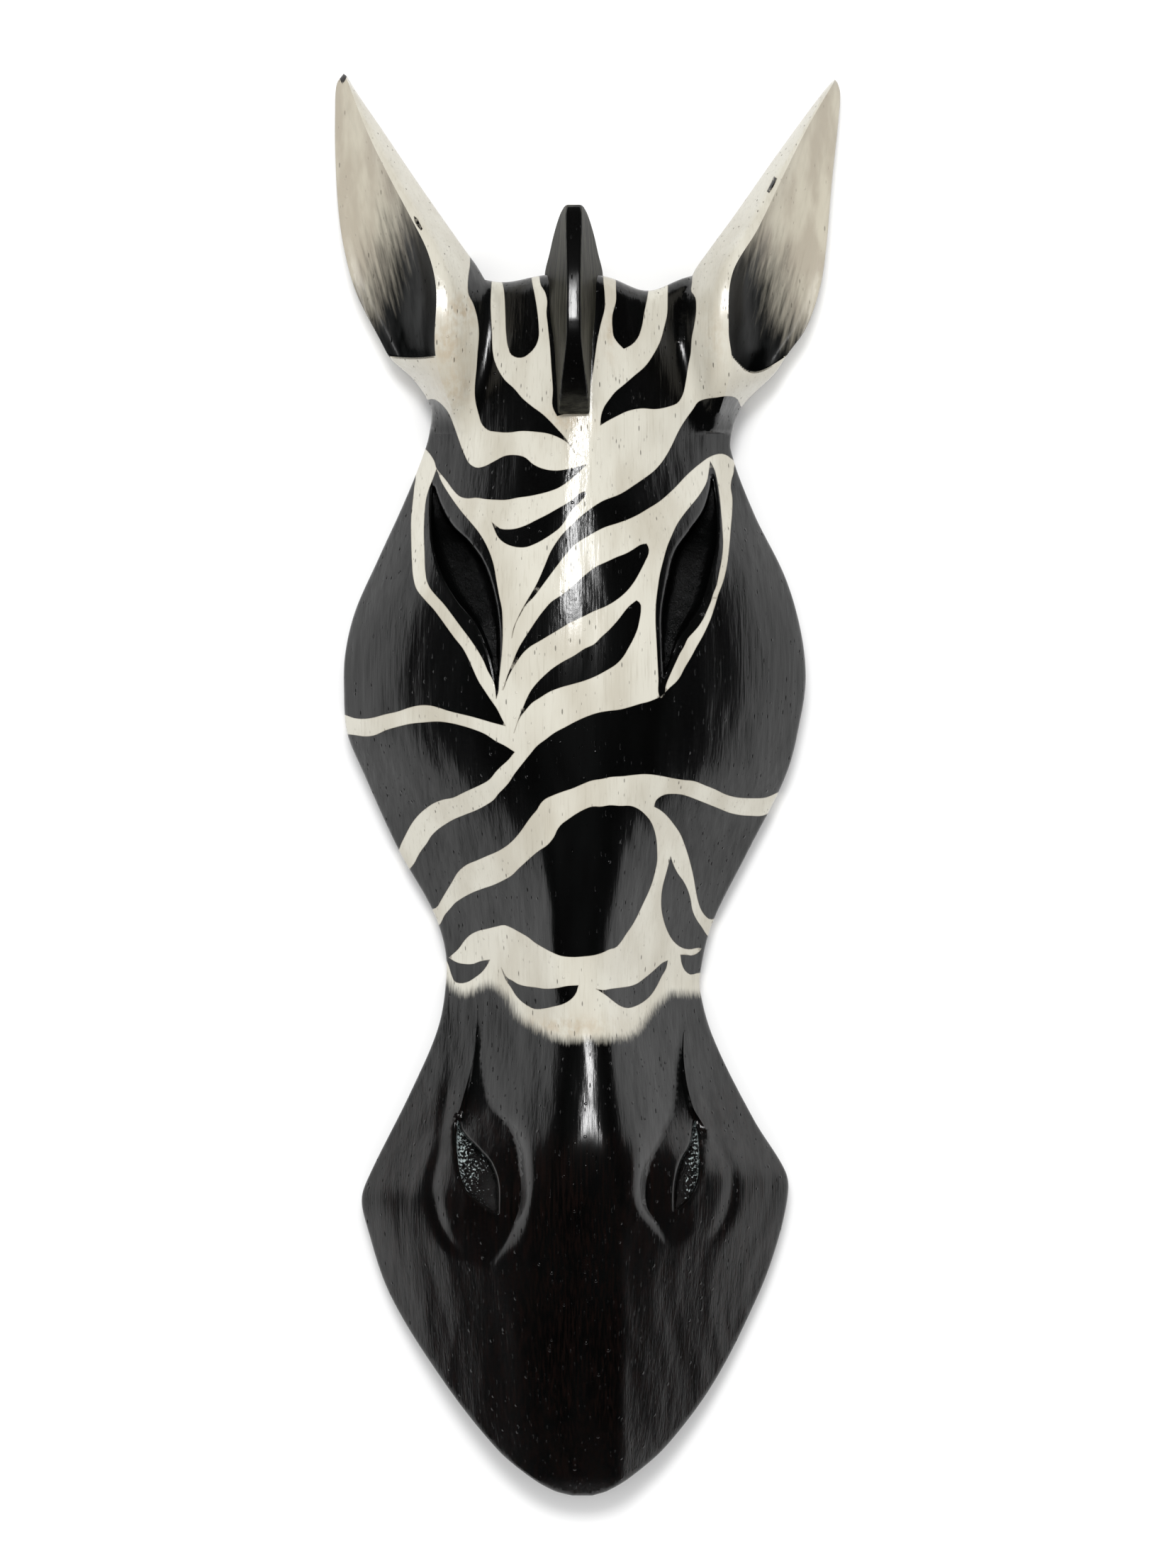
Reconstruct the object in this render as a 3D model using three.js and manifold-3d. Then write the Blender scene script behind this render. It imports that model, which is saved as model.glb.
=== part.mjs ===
// A wall mask carved from one block of light softwood: a stylised zebra head seen from the front.
// Units are millimetres. X runs across the face, Y up from chin to ears, Z forward out of the flat back.
// The mask lies on its back, so the flat back is the plane Z = 0. Heights below are measured from it.

import * as THREE from "three";
import { mergeVertices } from "three/addons/utils/BufferGeometryUtils.js";
import Module from "manifold-3d";

const wasm = await Module();
wasm.setup();

// Driving dimensions of the head.
const TOP_Y = 180;
const DRAW_IN = 0.0005; // share by which each mm of height draws a point toward the axis
// The stretches of sections from chin to crown, as [start y, number].
const HEAD_ROWS = [[-251, 8], [-238, 9], [-172, 17], [-108, 36]];
const HEAD_COLUMNS = 38;
const RIDGE_ROUND = 0.06; // how softly the straight flanks leave the ridge's flat top
const CHIN_START_Y = -155; // below this the flanks keep their shape and the outline cuts across them
const BACK_OVERCUT = 2; // how far a cutter reaches past the surface that it enters

// Side outlines from chin to ear root, as [y, x].
const LEFT_SIDE = [
  [-251, -5.5], [-249.5, -11.5], [-244.8, -19.9], [-234.8, -31.9], [-210.8, -50.9], [-180.5, -69.6],
  [-155.5, -78.1], [-146, -79.8], [-137.5, -76.9], [-108.3, -62.4], [-86, -52.9], [-68.3, -50],
  [-57.3, -50.6], [-44.3, -54.9], [-23, -66.9], [3.3, -78.9], [18, -84.9], [34.5, -86.1],
  [46.3, -85.6], [61, -82.1], [79.5, -73.9], [101, -64.1], [119, -57.1], [129, -55.1],
  [140, -54], [160, -47], [180, -40],
];
const RIGHT_SIDE = [
  [-251, 1.5], [-249.5, 6.5], [-244.8, 14.6], [-233.5, 27.6], [-211, 44.4], [-180.5, 59.9],
  [-162.3, 66.6], [-144.8, 70.5], [-136.5, 69.6], [-118.5, 58.6], [-90.5, 44.6], [-73, 39.6],
  [-63.8, 40.1], [-48.5, 44.1], [-24.8, 55.9], [3.3, 69.9], [23.8, 75.1], [38, 76.8],
  [54.8, 74.9], [73.3, 69.4], [95.3, 58.6], [117.8, 50.4], [127.5, 51.1], [140, 50],
  [160, 44], [180, 38.5],
];

// Height of the nose ridge and of the rim where the side wall ends, as [y, z].
const RIDGE_HEIGHT = [
  [-251, 24], [-244, 30], [-225, 40], [-190, 53], [-155, 65], [-132, 70], [-112, 67],
  [-86, 62], [-60, 63], [-20, 68], [20, 72], [50, 72], [85, 68], [120, 63], [150, 59], [180, 54],
];
const RIM_HEIGHT = [[-155, 13], [-146, 13], [-68, 12], [40, 16], [130, 20], [180, 26]];
// How far the ridge lies to the right of the middle of the outline, as [y, x].
const RIDGE_SHIFT = [[-160, 0], [-135, 4], [-110, 5.5], [-88, 5.5], [-65, 1], [-50, 0]];
// How far the flanks are straight like a roof's rather than rounded, as [y, share].
const ROOF_SHARE = [
  [-251, 0.6], [-190, 0.6], [-150, 0.8], [-120, 1], [-25, 1], [8, 0.15], [80, 0], [110, 0.4], [180, 0.5],
];
// Half width of the ridge's flat top as a share of the half face, as [y, share].
const RIDGE_FLAT = [[-251, 0.2], [-165, 0.16], [-130, 0.06], [-90, 0.06], [-50, 0.1], [-20, 0.1], [20, 0.05]];
const TOP_SCALLOPS = [{ x: -30, drop: 3 }, { x: 21, drop: 6 }];
const SCALLOP_WIDTH = 11;
const DROP_START_Y = 118; // above this the sections lean back toward the top edge
const TOP_BACK_DROP = 8; // how far the back edge of the head's top lies below its front edge
const TOP_ROUND = 6; // radius at which the face turns over to the flat top of the head

// Almond eye recesses: inner edge and outer edge from the lower tip to the upper tip, as [y, x].
const EYE_DEPTH = 13;
const EYES = [
  {
    inner: [
      [32.8, -32], [46.5, -31.1], [56.5, -31.4], [66.5, -32.9], [77.8, -36.6], [85.8, -42.1],
      [91, -47.4], [97.8, -51.4], [105.8, -54.4],
    ],
    outer: [
      [32.8, -32.4], [41.5, -33.8], [48.5, -36], [56.5, -39.6], [64.5, -46.1], [72.8, -51.1],
      [82.8, -54.4], [94, -55.4], [105.8, -55],
    ],
  },
  {
    inner: [
      [37.8, 26.6], [51.5, 26], [61.5, 26.1], [72.8, 28.1], [82, 30.6], [89.5, 35.6],
      [96.5, 40.4], [104, 42.8], [108.5, 43.3],
    ],
    outer: [
      [37.8, 27], [44, 29.4], [51, 31.9], [56.5, 35.6], [64, 40.1], [75.3, 43.4],
      [85.3, 45.4], [97.8, 45.4], [108.5, 43.8],
    ],
  },
];

// Nostrils: openings like the eyes, each on a long dish cut into the muzzle's flank.
const NOSTRIL_DEPTH = 8;
const NOSTRILS = [
  {
    inner: [
      [-151.5, -31.7], [-141, -31.8], [-134, -34.1], [-129.8, -37.4], [-122.3, -44.4], [-118.5, -45.6],
    ],
    outer: [
      [-151.5, -32.2], [-148.5, -37], [-143.5, -42.9], [-136, -45.6], [-126, -46.6], [-118.5, -46],
    ],
    dish: [
      [-171, -34.4, -34.9, -35.4], [-166, -27.9, -31.1, -46.1], [-161, -22.4, -26.9, -53.6],
      [-148.5, -19.9, -24.1, -55.6], [-136, -19.4, -23.6, -54.4], [-122.3, -21.1, -26.9, -47.9],
      [-113.5, -21.1, -34.4, -44.9], [-98.5, -20.4, -38.4, -41], [-83.5, -20.4, -38, -39],
    ],
  },
  {
    inner: [
      [-150.5, 30.3], [-141, 30.6], [-133, 32.6], [-127, 35.8], [-121, 37], [-118.5, 37.3],
    ],
    outer: [
      [-150.5, 30.8], [-147, 35], [-140, 38.6], [-132, 39.4], [-124, 39], [-118.5, 37.7],
    ],
    dish: [
      [-167, 32.1, 33.1, 34.1], [-161, 22.6, 26.4, 42.6], [-148.5, 16.4, 20.6, 50.6],
      [-136, 15.9, 21.4, 51.6], [-123.5, 15.9, 26.4, 46.4], [-113.5, 15.1, 30.1, 38.9],
      [-98.5, 14.6, 31.4, 34.6], [-83.5, 13.9, 33.1, 33.9],
    ],
  },
];
const DISH_CURVE = 1.6; // how softly the dish leaves its inner edge
const DISH_DEPTH = [[0, 0], [0.1, 2.5], [0.28, 4.5], [0.5, 4.5], [0.7, 3.5], [0.86, 1.5], [1, 0]];
const RECESS_ROWS = 16;
const EYE_SOCKET = { depth: 2, halfWidth: 20, halfLength: 42 };
const EYE_CENTRES = [[-43, 68], [36, 70]];

// Ears, as [y, x or z] from root to tip. side is the sense in which the outer edge lies from the ridge.
const ROOT_ROWS = 5;
const EAR_ROWS = 18;
const EARS = [
  {
    side: -1,
    outer: [
      [124, -54.5], [134, -56], [142.5, -61.5], [149.8, -69.4], [156, -73], [172, -81.2],
      [184, -85], [200, -87.8], [220.8, -89.1], [237, -89.2], [247, -88.6], [250.5, -86.2],
    ],
    inner: [
      [124, -34], [150, -32], [172, -34], [181.5, -38.5], [189, -43.9], [203.5, -54.1],
      [216.3, -62.9], [231.5, -73.1], [243, -81], [248.5, -84.4], [250.5, -85.4],
    ],
    ridge: [
      [124, -45], [150, -53.6], [175, -53.6], [187.8, -56.6], [200.5, -62.9], [215, -70.6],
      [231, -78.3], [250.5, -85.8],
    ],
    hollowStart: 151,
    hollowEnd: 243,
  },
  {
    side: 1,
    outer: [
      [124, 50.5], [134, 55], [144.5, 65.6], [151, 70], [161, 77], [175.8, 82], [189.8, 84.1],
      [211, 85.9], [234.8, 88.4], [244, 88.9], [248.5, 87.6],
    ],
    inner: [
      [124, 34], [150, 32], [172, 34], [181, 37.6], [186.8, 41.6], [201.5, 52.3], [221.5, 66.3],
      [240.8, 80.4], [247, 85.4], [248.5, 87],
    ],
    ridge: [
      [124, 44], [147, 50.6], [160, 49.6], [180, 50.9], [196, 60], [215, 69.1], [232.8, 78.1],
      [248.5, 87.3],
    ],
    hollowStart: 147,
    hollowEnd: 241,
  },
];
const EAR_RIDGE_HEIGHT = [[124, 30], [140, 42], [160, 46], [180, 44], [205, 35], [230, 22], [251, 9]];
const EAR_INNER_HEIGHT = [[124, 30], [160, 34], [185, 26], [205, 20], [230, 13], [251, 6]];
const EAR_OUTER_HEIGHT = [[124, 20], [150, 17], [180, 15], [215, 12], [251, 6]];
const HOLLOW_DEPTH = [[0, 15], [0.15, 16], [0.5, 13], [0.8, 8], [1, 5]]; // as [share of its length, depth]
const HOLLOW_STEP = 1.2; // length over which the hollow's lower end drops away
// The hollow across the ear: share of the way from ridge to outer edge, share of the depth, and the
// share of the swell that stands there where the ear isn't hollow.
const HOLLOW_PROFILE = [
  [0.82, 0.5, 0.5], [0.6, 0.85, 1], [0.35, 1, 1], [0.16, 0.9, 0.7], [0.06, 0.45, 0.3],
];
// The ear inside the ridge: share of the way to its inner edge, share of the fall, share of the swell.
const INNER_PROFILE = [[0.3, 0.08, 0.25], [0.5, 0.38, 0.6], [0.8, 0.75, 0.4]];
const SWELL_SHARE = 0.16;

// Mane crest: sections up the forehead, as y, front height, front width, back height and back width.
const CREST_X = -5;
const CREST_CHAMFER = 0.8;
const CREST = [
  { y: 130.5, front: 64, frontWidth: 10.8, back: 50, backWidth: 12.8 },
  { y: 138, front: 72, frontWidth: 10.2, back: 48, backWidth: 13.4 },
  { y: 148, front: 80, frontWidth: 7.6, back: 46, backWidth: 15.4 },
  { y: 157, front: 83.5, frontWidth: 5.6, back: 44, backWidth: 17.6 },
  { y: 163, front: 84, frontWidth: 5.3, back: 43, backWidth: 19.4 },
  { y: 169, front: 83.4, frontWidth: 5.2, back: 42, backWidth: 20.6 },
  { y: 180, front: 81.6, frontWidth: 5.2, back: 40, backWidth: 20.4 },
  { y: 187, front: 79.6, frontWidth: 5.4, back: 43, backWidth: 17.2 },
  { y: 194, front: 76.8, frontWidth: 5.8, back: 49, backWidth: 14 },
  { y: 201, front: 73, frontWidth: 6, back: 57, backWidth: 9.6 },
  { y: 204.3, front: 70.5, frontWidth: 5.4, back: 62, backWidth: 6 },
];

// Trough hollowed into the back.
const TROUGH_LOW_Y = -196;
const TROUGH_HIGH_Y = 118;
const TROUGH_WALL = 19;
const TROUGH_HEIGHT = 33;
const TROUGH_ROWS = 22;
const TROUGH_COLUMNS = 12;
const TROUGH_END = 26; // length over which the trough runs out at each end

const LACQUER = new THREE.MeshStandardMaterial({ color: 0x14151a, roughness: 0.22, metalness: 0 });
LACQUER.name = "black_and_cream_lacquer";

// Value at y of a smooth curve through the rows of a table.
function along(table, y, column = 1) {
  const last = table.length - 1;
  if (y <= table[0][0]) return table[0][column];
  if (y >= table[last][0]) return table[last][column];
  let i = 0;
  while (table[i + 1][0] < y) i += 1;
  const slope = (a, b) => (table[b][column] - table[a][column]) / (table[b][0] - table[a][0]);
  const step = table[i + 1][0] - table[i][0];
  const startSlope = slope(Math.max(i - 1, 0), i + 1) * step;
  const endSlope = slope(i, Math.min(i + 2, last)) * step;
  const t = (y - table[i][0]) / step;
  const t2 = t * t;
  const t3 = t2 * t;
  return (
    (2 * t3 - 3 * t2 + 1) * table[i][column] +
    (t3 - 2 * t2 + t) * startSlope +
    (3 * t2 - 2 * t3) * table[i + 1][column] +
    (t3 - t2) * endSlope
  );
}

const bump = (distance) => Math.exp(-distance * distance);

// Height of the face's section at a share of the way from its middle to the rim, from 1 to 0.
function section(across, y) {
  const roof = along(ROOF_SHARE, y);
  const flat = along(RIDGE_FLAT, y);
  const drop = Math.hypot(Math.max(0, across - flat), RIDGE_ROUND) - RIDGE_ROUND;
  const fullDrop = Math.hypot(1 - flat, RIDGE_ROUND) - RIDGE_ROUND;
  return 1 - (1 - roof) * across * across - (roof * drop) / fullDrop;
}

// Depth at a place of the dish round a nostril, which falls from its inner edge to a crease and
// rises from there to its outer edge.
function dishDepth({ dish }, x, y) {
  const low = dish[0][0];
  const high = dish[dish.length - 1][0];
  if (y <= low || y >= high) return 0;
  const inner = along(dish, y, 1);
  const crease = along(dish, y, 2);
  const outer = along(dish, y, 3);
  const falling = Math.pow(Math.max(0, (x - inner) / (crease - inner)), DISH_CURVE);
  const rising = Math.max(0, (x - outer) / (crease - outer));
  return along(DISH_DEPTH, (y - low) / (high - low)) * Math.min(falling, rising);
}

// Height of the carved face at a place, before the eyes and nostrils are cut in.
function faceHeight(x, y) {
  const aboveChin = Math.max(y, CHIN_START_Y);
  const left = along(LEFT_SIDE, aboveChin);
  const right = along(RIGHT_SIDE, aboveChin);
  const middle = (left + right) / 2 + along(RIDGE_SHIFT, y);
  const rim = x > middle ? right : left;
  const across = Math.min(1, (x - middle) / (rim - middle));
  const crown = along(RIDGE_HEIGHT, aboveChin) - along(RIM_HEIGHT, aboveChin);
  let height = along(RIDGE_HEIGHT, y) - crown * (1 - section(across, y));
  for (const [eyeX, eyeY] of EYE_CENTRES) {
    const away = Math.hypot((x - eyeX) / EYE_SOCKET.halfWidth, (y - eyeY) / EYE_SOCKET.halfLength);
    height -= EYE_SOCKET.depth * bump(away);
  }
  for (const nostril of NOSTRILS) height -= dishDepth(nostril, x, y);
  const overTop = Math.max(0, 1 - (TOP_Y - y) / TOP_ROUND);
  return height - TOP_ROUND * (1 - Math.sqrt(1 - 0.96 * overTop * overTop));
}

const topDrop = (x) => TOP_SCALLOPS.reduce((sum, s) => sum + s.drop * bump((x - s.x) / SCALLOP_WIDTH), 0);

// A closed solid from a list of sections. Each section is a ring of [x, y, z] points, all of one count,
// and the first and last section are capped.
function loft(sections) {
  const count = sections[0].length;
  const positions = sections.flat(2);
  const faces = [];
  for (let i = 0; i + 1 < sections.length; i += 1) {
    for (let j = 0; j < count; j += 1) {
      const a = i * count + j;
      const b = i * count + ((j + 1) % count);
      faces.push(a, b, b + count, a, b + count, a + count);
    }
  }
  for (const [row, turned] of [[0, true], [sections.length - 1, false]]) {
    const ring = sections[row].map((p) => new THREE.Vector2(p[0], p[2]));
    const clockwise = THREE.ShapeUtils.isClockWise(ring);
    for (const cap of THREE.ShapeUtils.triangulateShape(ring, [])) {
      const corners = cap.map((k) => row * count + k);
      const same = THREE.ShapeUtils.isClockWise(cap.map((k) => ring[k])) === clockwise;
      faces.push(...(same === turned ? corners.reverse() : corners));
    }
  }
  const geometry = new THREE.BufferGeometry();
  geometry.setAttribute("position", new THREE.Float32BufferAttribute(positions, 3));
  geometry.setIndex(faces);
  return solid(geometry);
}

// A manifold solid of a closed geometry, turned outward if its faces point in.
function solid(geometry) {
  geometry.deleteAttribute("normal");
  geometry.deleteAttribute("uv");
  const merged = mergeVertices(geometry, 1e-5);
  const vertProperties = new Float32Array(merged.attributes.position.array);
  const triVerts = new Uint32Array(merged.index.array);
  const p = (i) => new THREE.Vector3().fromArray(vertProperties, 3 * i);
  let volume = 0;
  for (let i = 0; i < triVerts.length; i += 3) {
    volume += p(triVerts[i]).dot(p(triVerts[i + 1]).cross(p(triVerts[i + 2])));
  }
  if (volume < 0) {
    for (let i = 0; i < triVerts.length; i += 3) {
      [triVerts[i + 1], triVerts[i + 2]] = [triVerts[i + 2], triVerts[i + 1]];
    }
  }
  return new wasm.Manifold(new wasm.Mesh({ numProp: 3, vertProperties, triVerts }));
}

// Where the head's sections lie, closer together round the nostrils.
function headRows() {
  const rows = [];
  HEAD_ROWS.forEach(([start, count], i) => {
    const end = i + 1 < HEAD_ROWS.length ? HEAD_ROWS[i + 1][0] : TOP_Y;
    for (let row = 0; row < count; row += 1) rows.push(start + ((end - start) * row) / count);
  });
  return [...rows, TOP_Y];
}

// The head as sections from chin to top: the front surface from left to right, then down to the back.
function headSolid() {
  const sections = [];
  for (const y of headRows()) {
    const left = along(LEFT_SIDE, y);
    const right = along(RIGHT_SIDE, y);
    const middle = (left + right) / 2;
    const half = (right - left) / 2;
    const nearTop = Math.max(0, (y - DROP_START_Y) / (TOP_Y - DROP_START_Y));
    const ring = [];
    for (let column = 0; column <= HEAD_COLUMNS; column += 1) {
      const angle = Math.PI * (column / HEAD_COLUMNS - 0.5);
      const x = middle + half * Math.sin(angle);
      ring.push([x, y - nearTop * topDrop(x), faceHeight(x, y)]);
    }
    ring.push([right, y - nearTop * TOP_BACK_DROP, 0]);
    ring.push([left, y - nearTop * TOP_BACK_DROP, 0]);
    sections.push(ring);
  }
  return loft(sections);
}

// Depth of the scooped hollow of an ear at y, or zero below the hollow.
function hollowDepth(ear, y) {
  const share = (y - ear.hollowStart) / (ear.hollowEnd - ear.hollowStart);
  return share < 0 || share > 1 ? 0 : along(HOLLOW_DEPTH, share) * (1 - share);
}

// An ear as sections from root to tip: outer edge, hollow, ridge and inner edge in front, flat behind.
function earSolid(ear) {
  const low = ear.outer[0][0];
  const high = ear.outer[ear.outer.length - 1][0];
  const rows = [];
  for (let row = 0; row <= ROOT_ROWS; row += 1) {
    rows.push(low + ((ear.hollowStart - low) * row) / ROOT_ROWS);
  }
  rows[ROOT_ROWS] -= HOLLOW_STEP;
  for (let row = 0; row <= EAR_ROWS; row += 1) {
    rows.push(ear.hollowStart + ((high - ear.hollowStart) * row) / EAR_ROWS);
  }
  return loft(
    rows.map((y) => {
      const outer = along(ear.outer, y);
      const inner = along(ear.inner, y);
      const ridge = along(ear.ridge, y);
      const top = along(EAR_RIDGE_HEIGHT, y);
      const innerTop = along(EAR_INNER_HEIGHT, y);
      const outerTop = along(EAR_OUTER_HEIGHT, y);
      const depth = hollowDepth(ear, y);
      const swell = (top - innerTop) * SWELL_SHARE;
      const scooped = HOLLOW_PROFILE.map(([share, sunk, swollen]) => [
        ridge + (outer - ridge) * share,
        y,
        top + (outerTop - top) * share + (depth > 0 ? -sunk * depth : swollen * swell),
      ]);
      const inside = INNER_PROFILE.map(([share, fallen, swollen]) => [
        ridge + (inner - ridge) * share,
        y,
        top + (innerTop - top) * fallen + swollen * swell,
      ]);
      return [
        [outer, y, 0],
        [outer, y, outerTop],
        ...scooped,
        [ridge, y, top],
        ...inside,
        [inner, y, innerTop],
        [inner, y, 0],
      ];
    }),
  );
}

function crestSolid() {
  return loft(
    CREST.map(({ y, front, frontWidth, back, backWidth }) => {
      const shoulder = front - CREST_CHAMFER;
      return [
        [CREST_X - backWidth / 2, y, back],
        [CREST_X - frontWidth / 2, y, shoulder],
        [CREST_X - frontWidth / 2 + CREST_CHAMFER, y, front],
        [CREST_X + frontWidth / 2 - CREST_CHAMFER, y, front],
        [CREST_X + frontWidth / 2, y, shoulder],
        [CREST_X + backWidth / 2, y, back],
      ];
    }),
  );
}

// A recess with an almond mouth: its floor follows the face, sunk by depth in the middle.
function recess({ inner, outer }, depth) {
  const low = inner[0][0];
  const high = inner[inner.length - 1][0];
  const rows = RECESS_ROWS;
  const sections = [];
  for (let row = 0; row <= rows; row += 1) {
    const angle = Math.PI * (row / rows - 0.5);
    const y = (low + high) / 2 + ((high - low) / 2) * Math.sin(angle);
    const a = along(inner, y);
    const b = along(outer, y);
    const sink = depth * Math.pow(Math.cos(angle), 0.5) + 0.3;
    const floor = faceHeight((a + b) / 2, y) - sink;
    const clear = faceHeight(a, y) + faceHeight(b, y);
    sections.push([
      [a, y, clear],
      [a, y, floor + sink * 0.35],
      [a * 0.8 + b * 0.2, y, floor],
      [a * 0.2 + b * 0.8, y, floor],
      [b, y, floor + sink * 0.35],
      [b, y, clear],
    ]);
  }
  return loft(sections);
}

// The trough in the back: arched across, with its walls parallel to the outline.
function backTrough() {
  const sections = [];
  for (let row = 0; row <= TROUGH_ROWS; row += 1) {
    const y = TROUGH_LOW_Y + ((TROUGH_HIGH_Y - TROUGH_LOW_Y) * row) / TROUGH_ROWS;
    const toEnd = Math.min(y - TROUGH_LOW_Y, TROUGH_HIGH_Y - y);
    const fade = Math.sqrt(Math.min(1, (toEnd + 1.5) / TROUGH_END));
    const left = along(LEFT_SIDE, y) + TROUGH_WALL;
    const right = along(RIGHT_SIDE, y) - TROUGH_WALL;
    const half = ((right - left) / 2) * fade;
    const ring = [];
    for (let column = 0; column <= TROUGH_COLUMNS; column += 1) {
      const angle = Math.PI * (column / TROUGH_COLUMNS - 0.5);
      const arch = Math.pow(Math.cos(angle), 0.8) * TROUGH_HEIGHT * fade;
      ring.push([(left + right) / 2 + half * Math.sin(angle), y, arch]);
    }
    ring.push([(left + right) / 2 + half, y, -BACK_OVERCUT]);
    ring.push([(left + right) / 2 - half, y, -BACK_OVERCUT]);
    sections.push(ring);
  }
  return loft(sections);
}

// Draws every point toward the axis by its height, as the carver's block narrows toward the front.
function drawIn(geometry) {
  const position = geometry.attributes.position;
  for (let i = 0; i < position.count; i += 1) {
    const share = 1 - DRAW_IN * position.getZ(i);
    position.setX(i, position.getX(i) * share);
    position.setY(i, position.getY(i) * share);
  }
}

function buildMask() {
  let body = headSolid().add(crestSolid());
  for (const ear of EARS) body = body.add(earSolid(ear));
  for (const eye of EYES) body = body.subtract(recess(eye, EYE_DEPTH));
  for (const nostril of NOSTRILS) body = body.subtract(recess(nostril, NOSTRIL_DEPTH));
  body = body.subtract(backTrough());
  const { vertProperties, triVerts } = body.getMesh();
  const geometry = new THREE.BufferGeometry();
  geometry.setAttribute("position", new THREE.Float32BufferAttribute(vertProperties, 3));
  geometry.setIndex([...triVerts]);
  drawIn(geometry);
  geometry.computeBoundingBox();
  const centre = geometry.boundingBox.getCenter(new THREE.Vector3());
  geometry.translate(-centre.x, -centre.y, 0);
  geometry.computeVertexNormals();
  const mask = new THREE.Mesh(geometry, LACQUER);
  mask.name = "carved_mask";
  return mask;
}

const group = new THREE.Group();
group.add(buildMask());

export default group;
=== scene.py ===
"""Carved softwood zebra mask, lying on its back on a pale floor and seen from straight above.

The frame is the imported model. One finely carved piece stands for its solid. The shape is worked out in
millimetres across the face (x), up the face (y) and out of it (z), and is placed in metres at the end.
"""

import math

import bmesh
import bpy
import numpy as np
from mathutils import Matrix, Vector
from mathutils.geometry import delaunay_2d_cdt
from mathutils.kdtree import KDTree


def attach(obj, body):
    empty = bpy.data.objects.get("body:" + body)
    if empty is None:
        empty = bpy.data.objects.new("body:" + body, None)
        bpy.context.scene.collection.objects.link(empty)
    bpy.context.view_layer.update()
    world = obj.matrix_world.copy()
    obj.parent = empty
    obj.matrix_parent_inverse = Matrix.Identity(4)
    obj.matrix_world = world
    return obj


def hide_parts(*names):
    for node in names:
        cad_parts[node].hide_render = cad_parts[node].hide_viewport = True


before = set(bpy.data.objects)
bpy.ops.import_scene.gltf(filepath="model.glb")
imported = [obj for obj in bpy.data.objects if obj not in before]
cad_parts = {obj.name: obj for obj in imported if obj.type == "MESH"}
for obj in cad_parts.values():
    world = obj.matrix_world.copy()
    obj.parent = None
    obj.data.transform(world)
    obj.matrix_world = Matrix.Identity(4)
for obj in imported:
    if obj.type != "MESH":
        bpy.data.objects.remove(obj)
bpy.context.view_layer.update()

MM = 0.001

# The photograph's own frame: pixels to millimetres on the face.
PHOTO_SIZE = (1659, 2212)
PIXELS_PER_MM = 4.0
CAMERA_DISTANCE = 2000.0
DRAW_IN = 1 / CAMERA_DISTANCE

# Head: the solid's driving dimensions, with finer relief on the muzzle.
TOP_Y = 180.0
CHIN_START_Y = -155
LEFT_SIDE = [
    (-251, -5.5), (-249.5, -11.5), (-244.8, -19.9), (-234.8, -31.9), (-210.8, -50.9), (-180.5, -69.6),
    (-155.5, -78.1), (-146, -79.8), (-137.5, -76.9), (-108.3, -62.4), (-86, -52.9), (-68.3, -50),
    (-57.3, -50.6), (-44.3, -54.9), (-23, -66.9), (3.3, -78.9), (18, -84.9), (34.5, -86.1),
    (46.3, -85.6), (61, -82.1), (79.5, -73.9), (101, -64.1), (119, -57.1), (129, -55.1),
    (140, -54), (160, -47), (180, -40),
]
RIGHT_SIDE = [
    (-251, 1.5), (-249.5, 6.5), (-244.8, 14.6), (-233.5, 27.6), (-211, 44.4), (-180.5, 59.9),
    (-162.3, 66.6), (-144.8, 70.5), (-136.5, 69.6), (-118.5, 58.6), (-90.5, 44.6), (-73, 39.6),
    (-63.8, 40.1), (-48.5, 44.1), (-24.8, 55.9), (3.3, 69.9), (23.8, 75.1), (38, 76.8),
    (54.8, 74.9), (73.3, 69.4), (95.3, 58.6), (117.8, 50.4), (127.5, 51.1), (140, 50),
    (160, 44), (180, 38.5),
]
RIDGE_HEIGHT = [
    (-251, 24), (-244, 30), (-225, 40), (-190, 53), (-155, 65), (-132, 70), (-112, 67),
    (-86, 62), (-60, 63), (-20, 68), (20, 72), (50, 72), (85, 68), (120, 63), (150, 59), (180, 54),
]
RIM_HEIGHT = [(-155, 13), (-146, 13), (-68, 12), (40, 16), (130, 20), (180, 26)]
RIDGE_SHIFT = [(-160, 0), (-135, 4), (-110, 5.5), (-88, 5.5), (-65, 1), (-50, 0)]
# Tables of the face's section: y, value left of the ridge and value right of it. They are the share of
# straight flanks, the flat part of the ridge and the width of the turn, as shares of the half width.
ROOF_SHARE = [
    (-251, 0.5, 0.85), (-190, 0.55, 0.85), (-150, 0.55, 0.6), (-120, 1, 1), (-25, 1, 1), (8, 0.15, 0.15),
    (80, 0, 0), (110, 0.4, 0.4), (180, 0.5, 0.5),
]
RIDGE_FLAT = [
    (-251, 0.1, 0.17), (-165, 0.1, 0.17), (-135, 0, 0.02), (-90, 0, 0), (-50, 0.08, 0.05), (20, 0.05, 0.05),
]
RIDGE_TURN = [
    (-251, 0.2, 0.08), (-165, 0.2, 0.08), (-135, 0.26, 0.24), (-90, 0.26, 0.26), (-50, 0.14, 0.3),
    (-20, 0.14, 0.3), (20, 0.1, 0.1),
]
TOP_SCALLOPS = [(-30, 3), (21, 6)]
SCALLOP_WIDTH = 11
DROP_START_Y = 118
TOP_BACK_DROP = 8
TOP_ROUND = 6
TOP_ROUND_SHARE = 0.96
TOP_MARGIN = 0.05
# Where the top edge leans back: up to the first place from the middle, then fading to the second.
LEAN_ACROSS = (30, 39)
LEAN_REACH = 14
# How steeply the surface falls where it is read past its own edge.
PAST_SIDE_FALL = 20
PAST_TOP_FALL = 60

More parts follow.
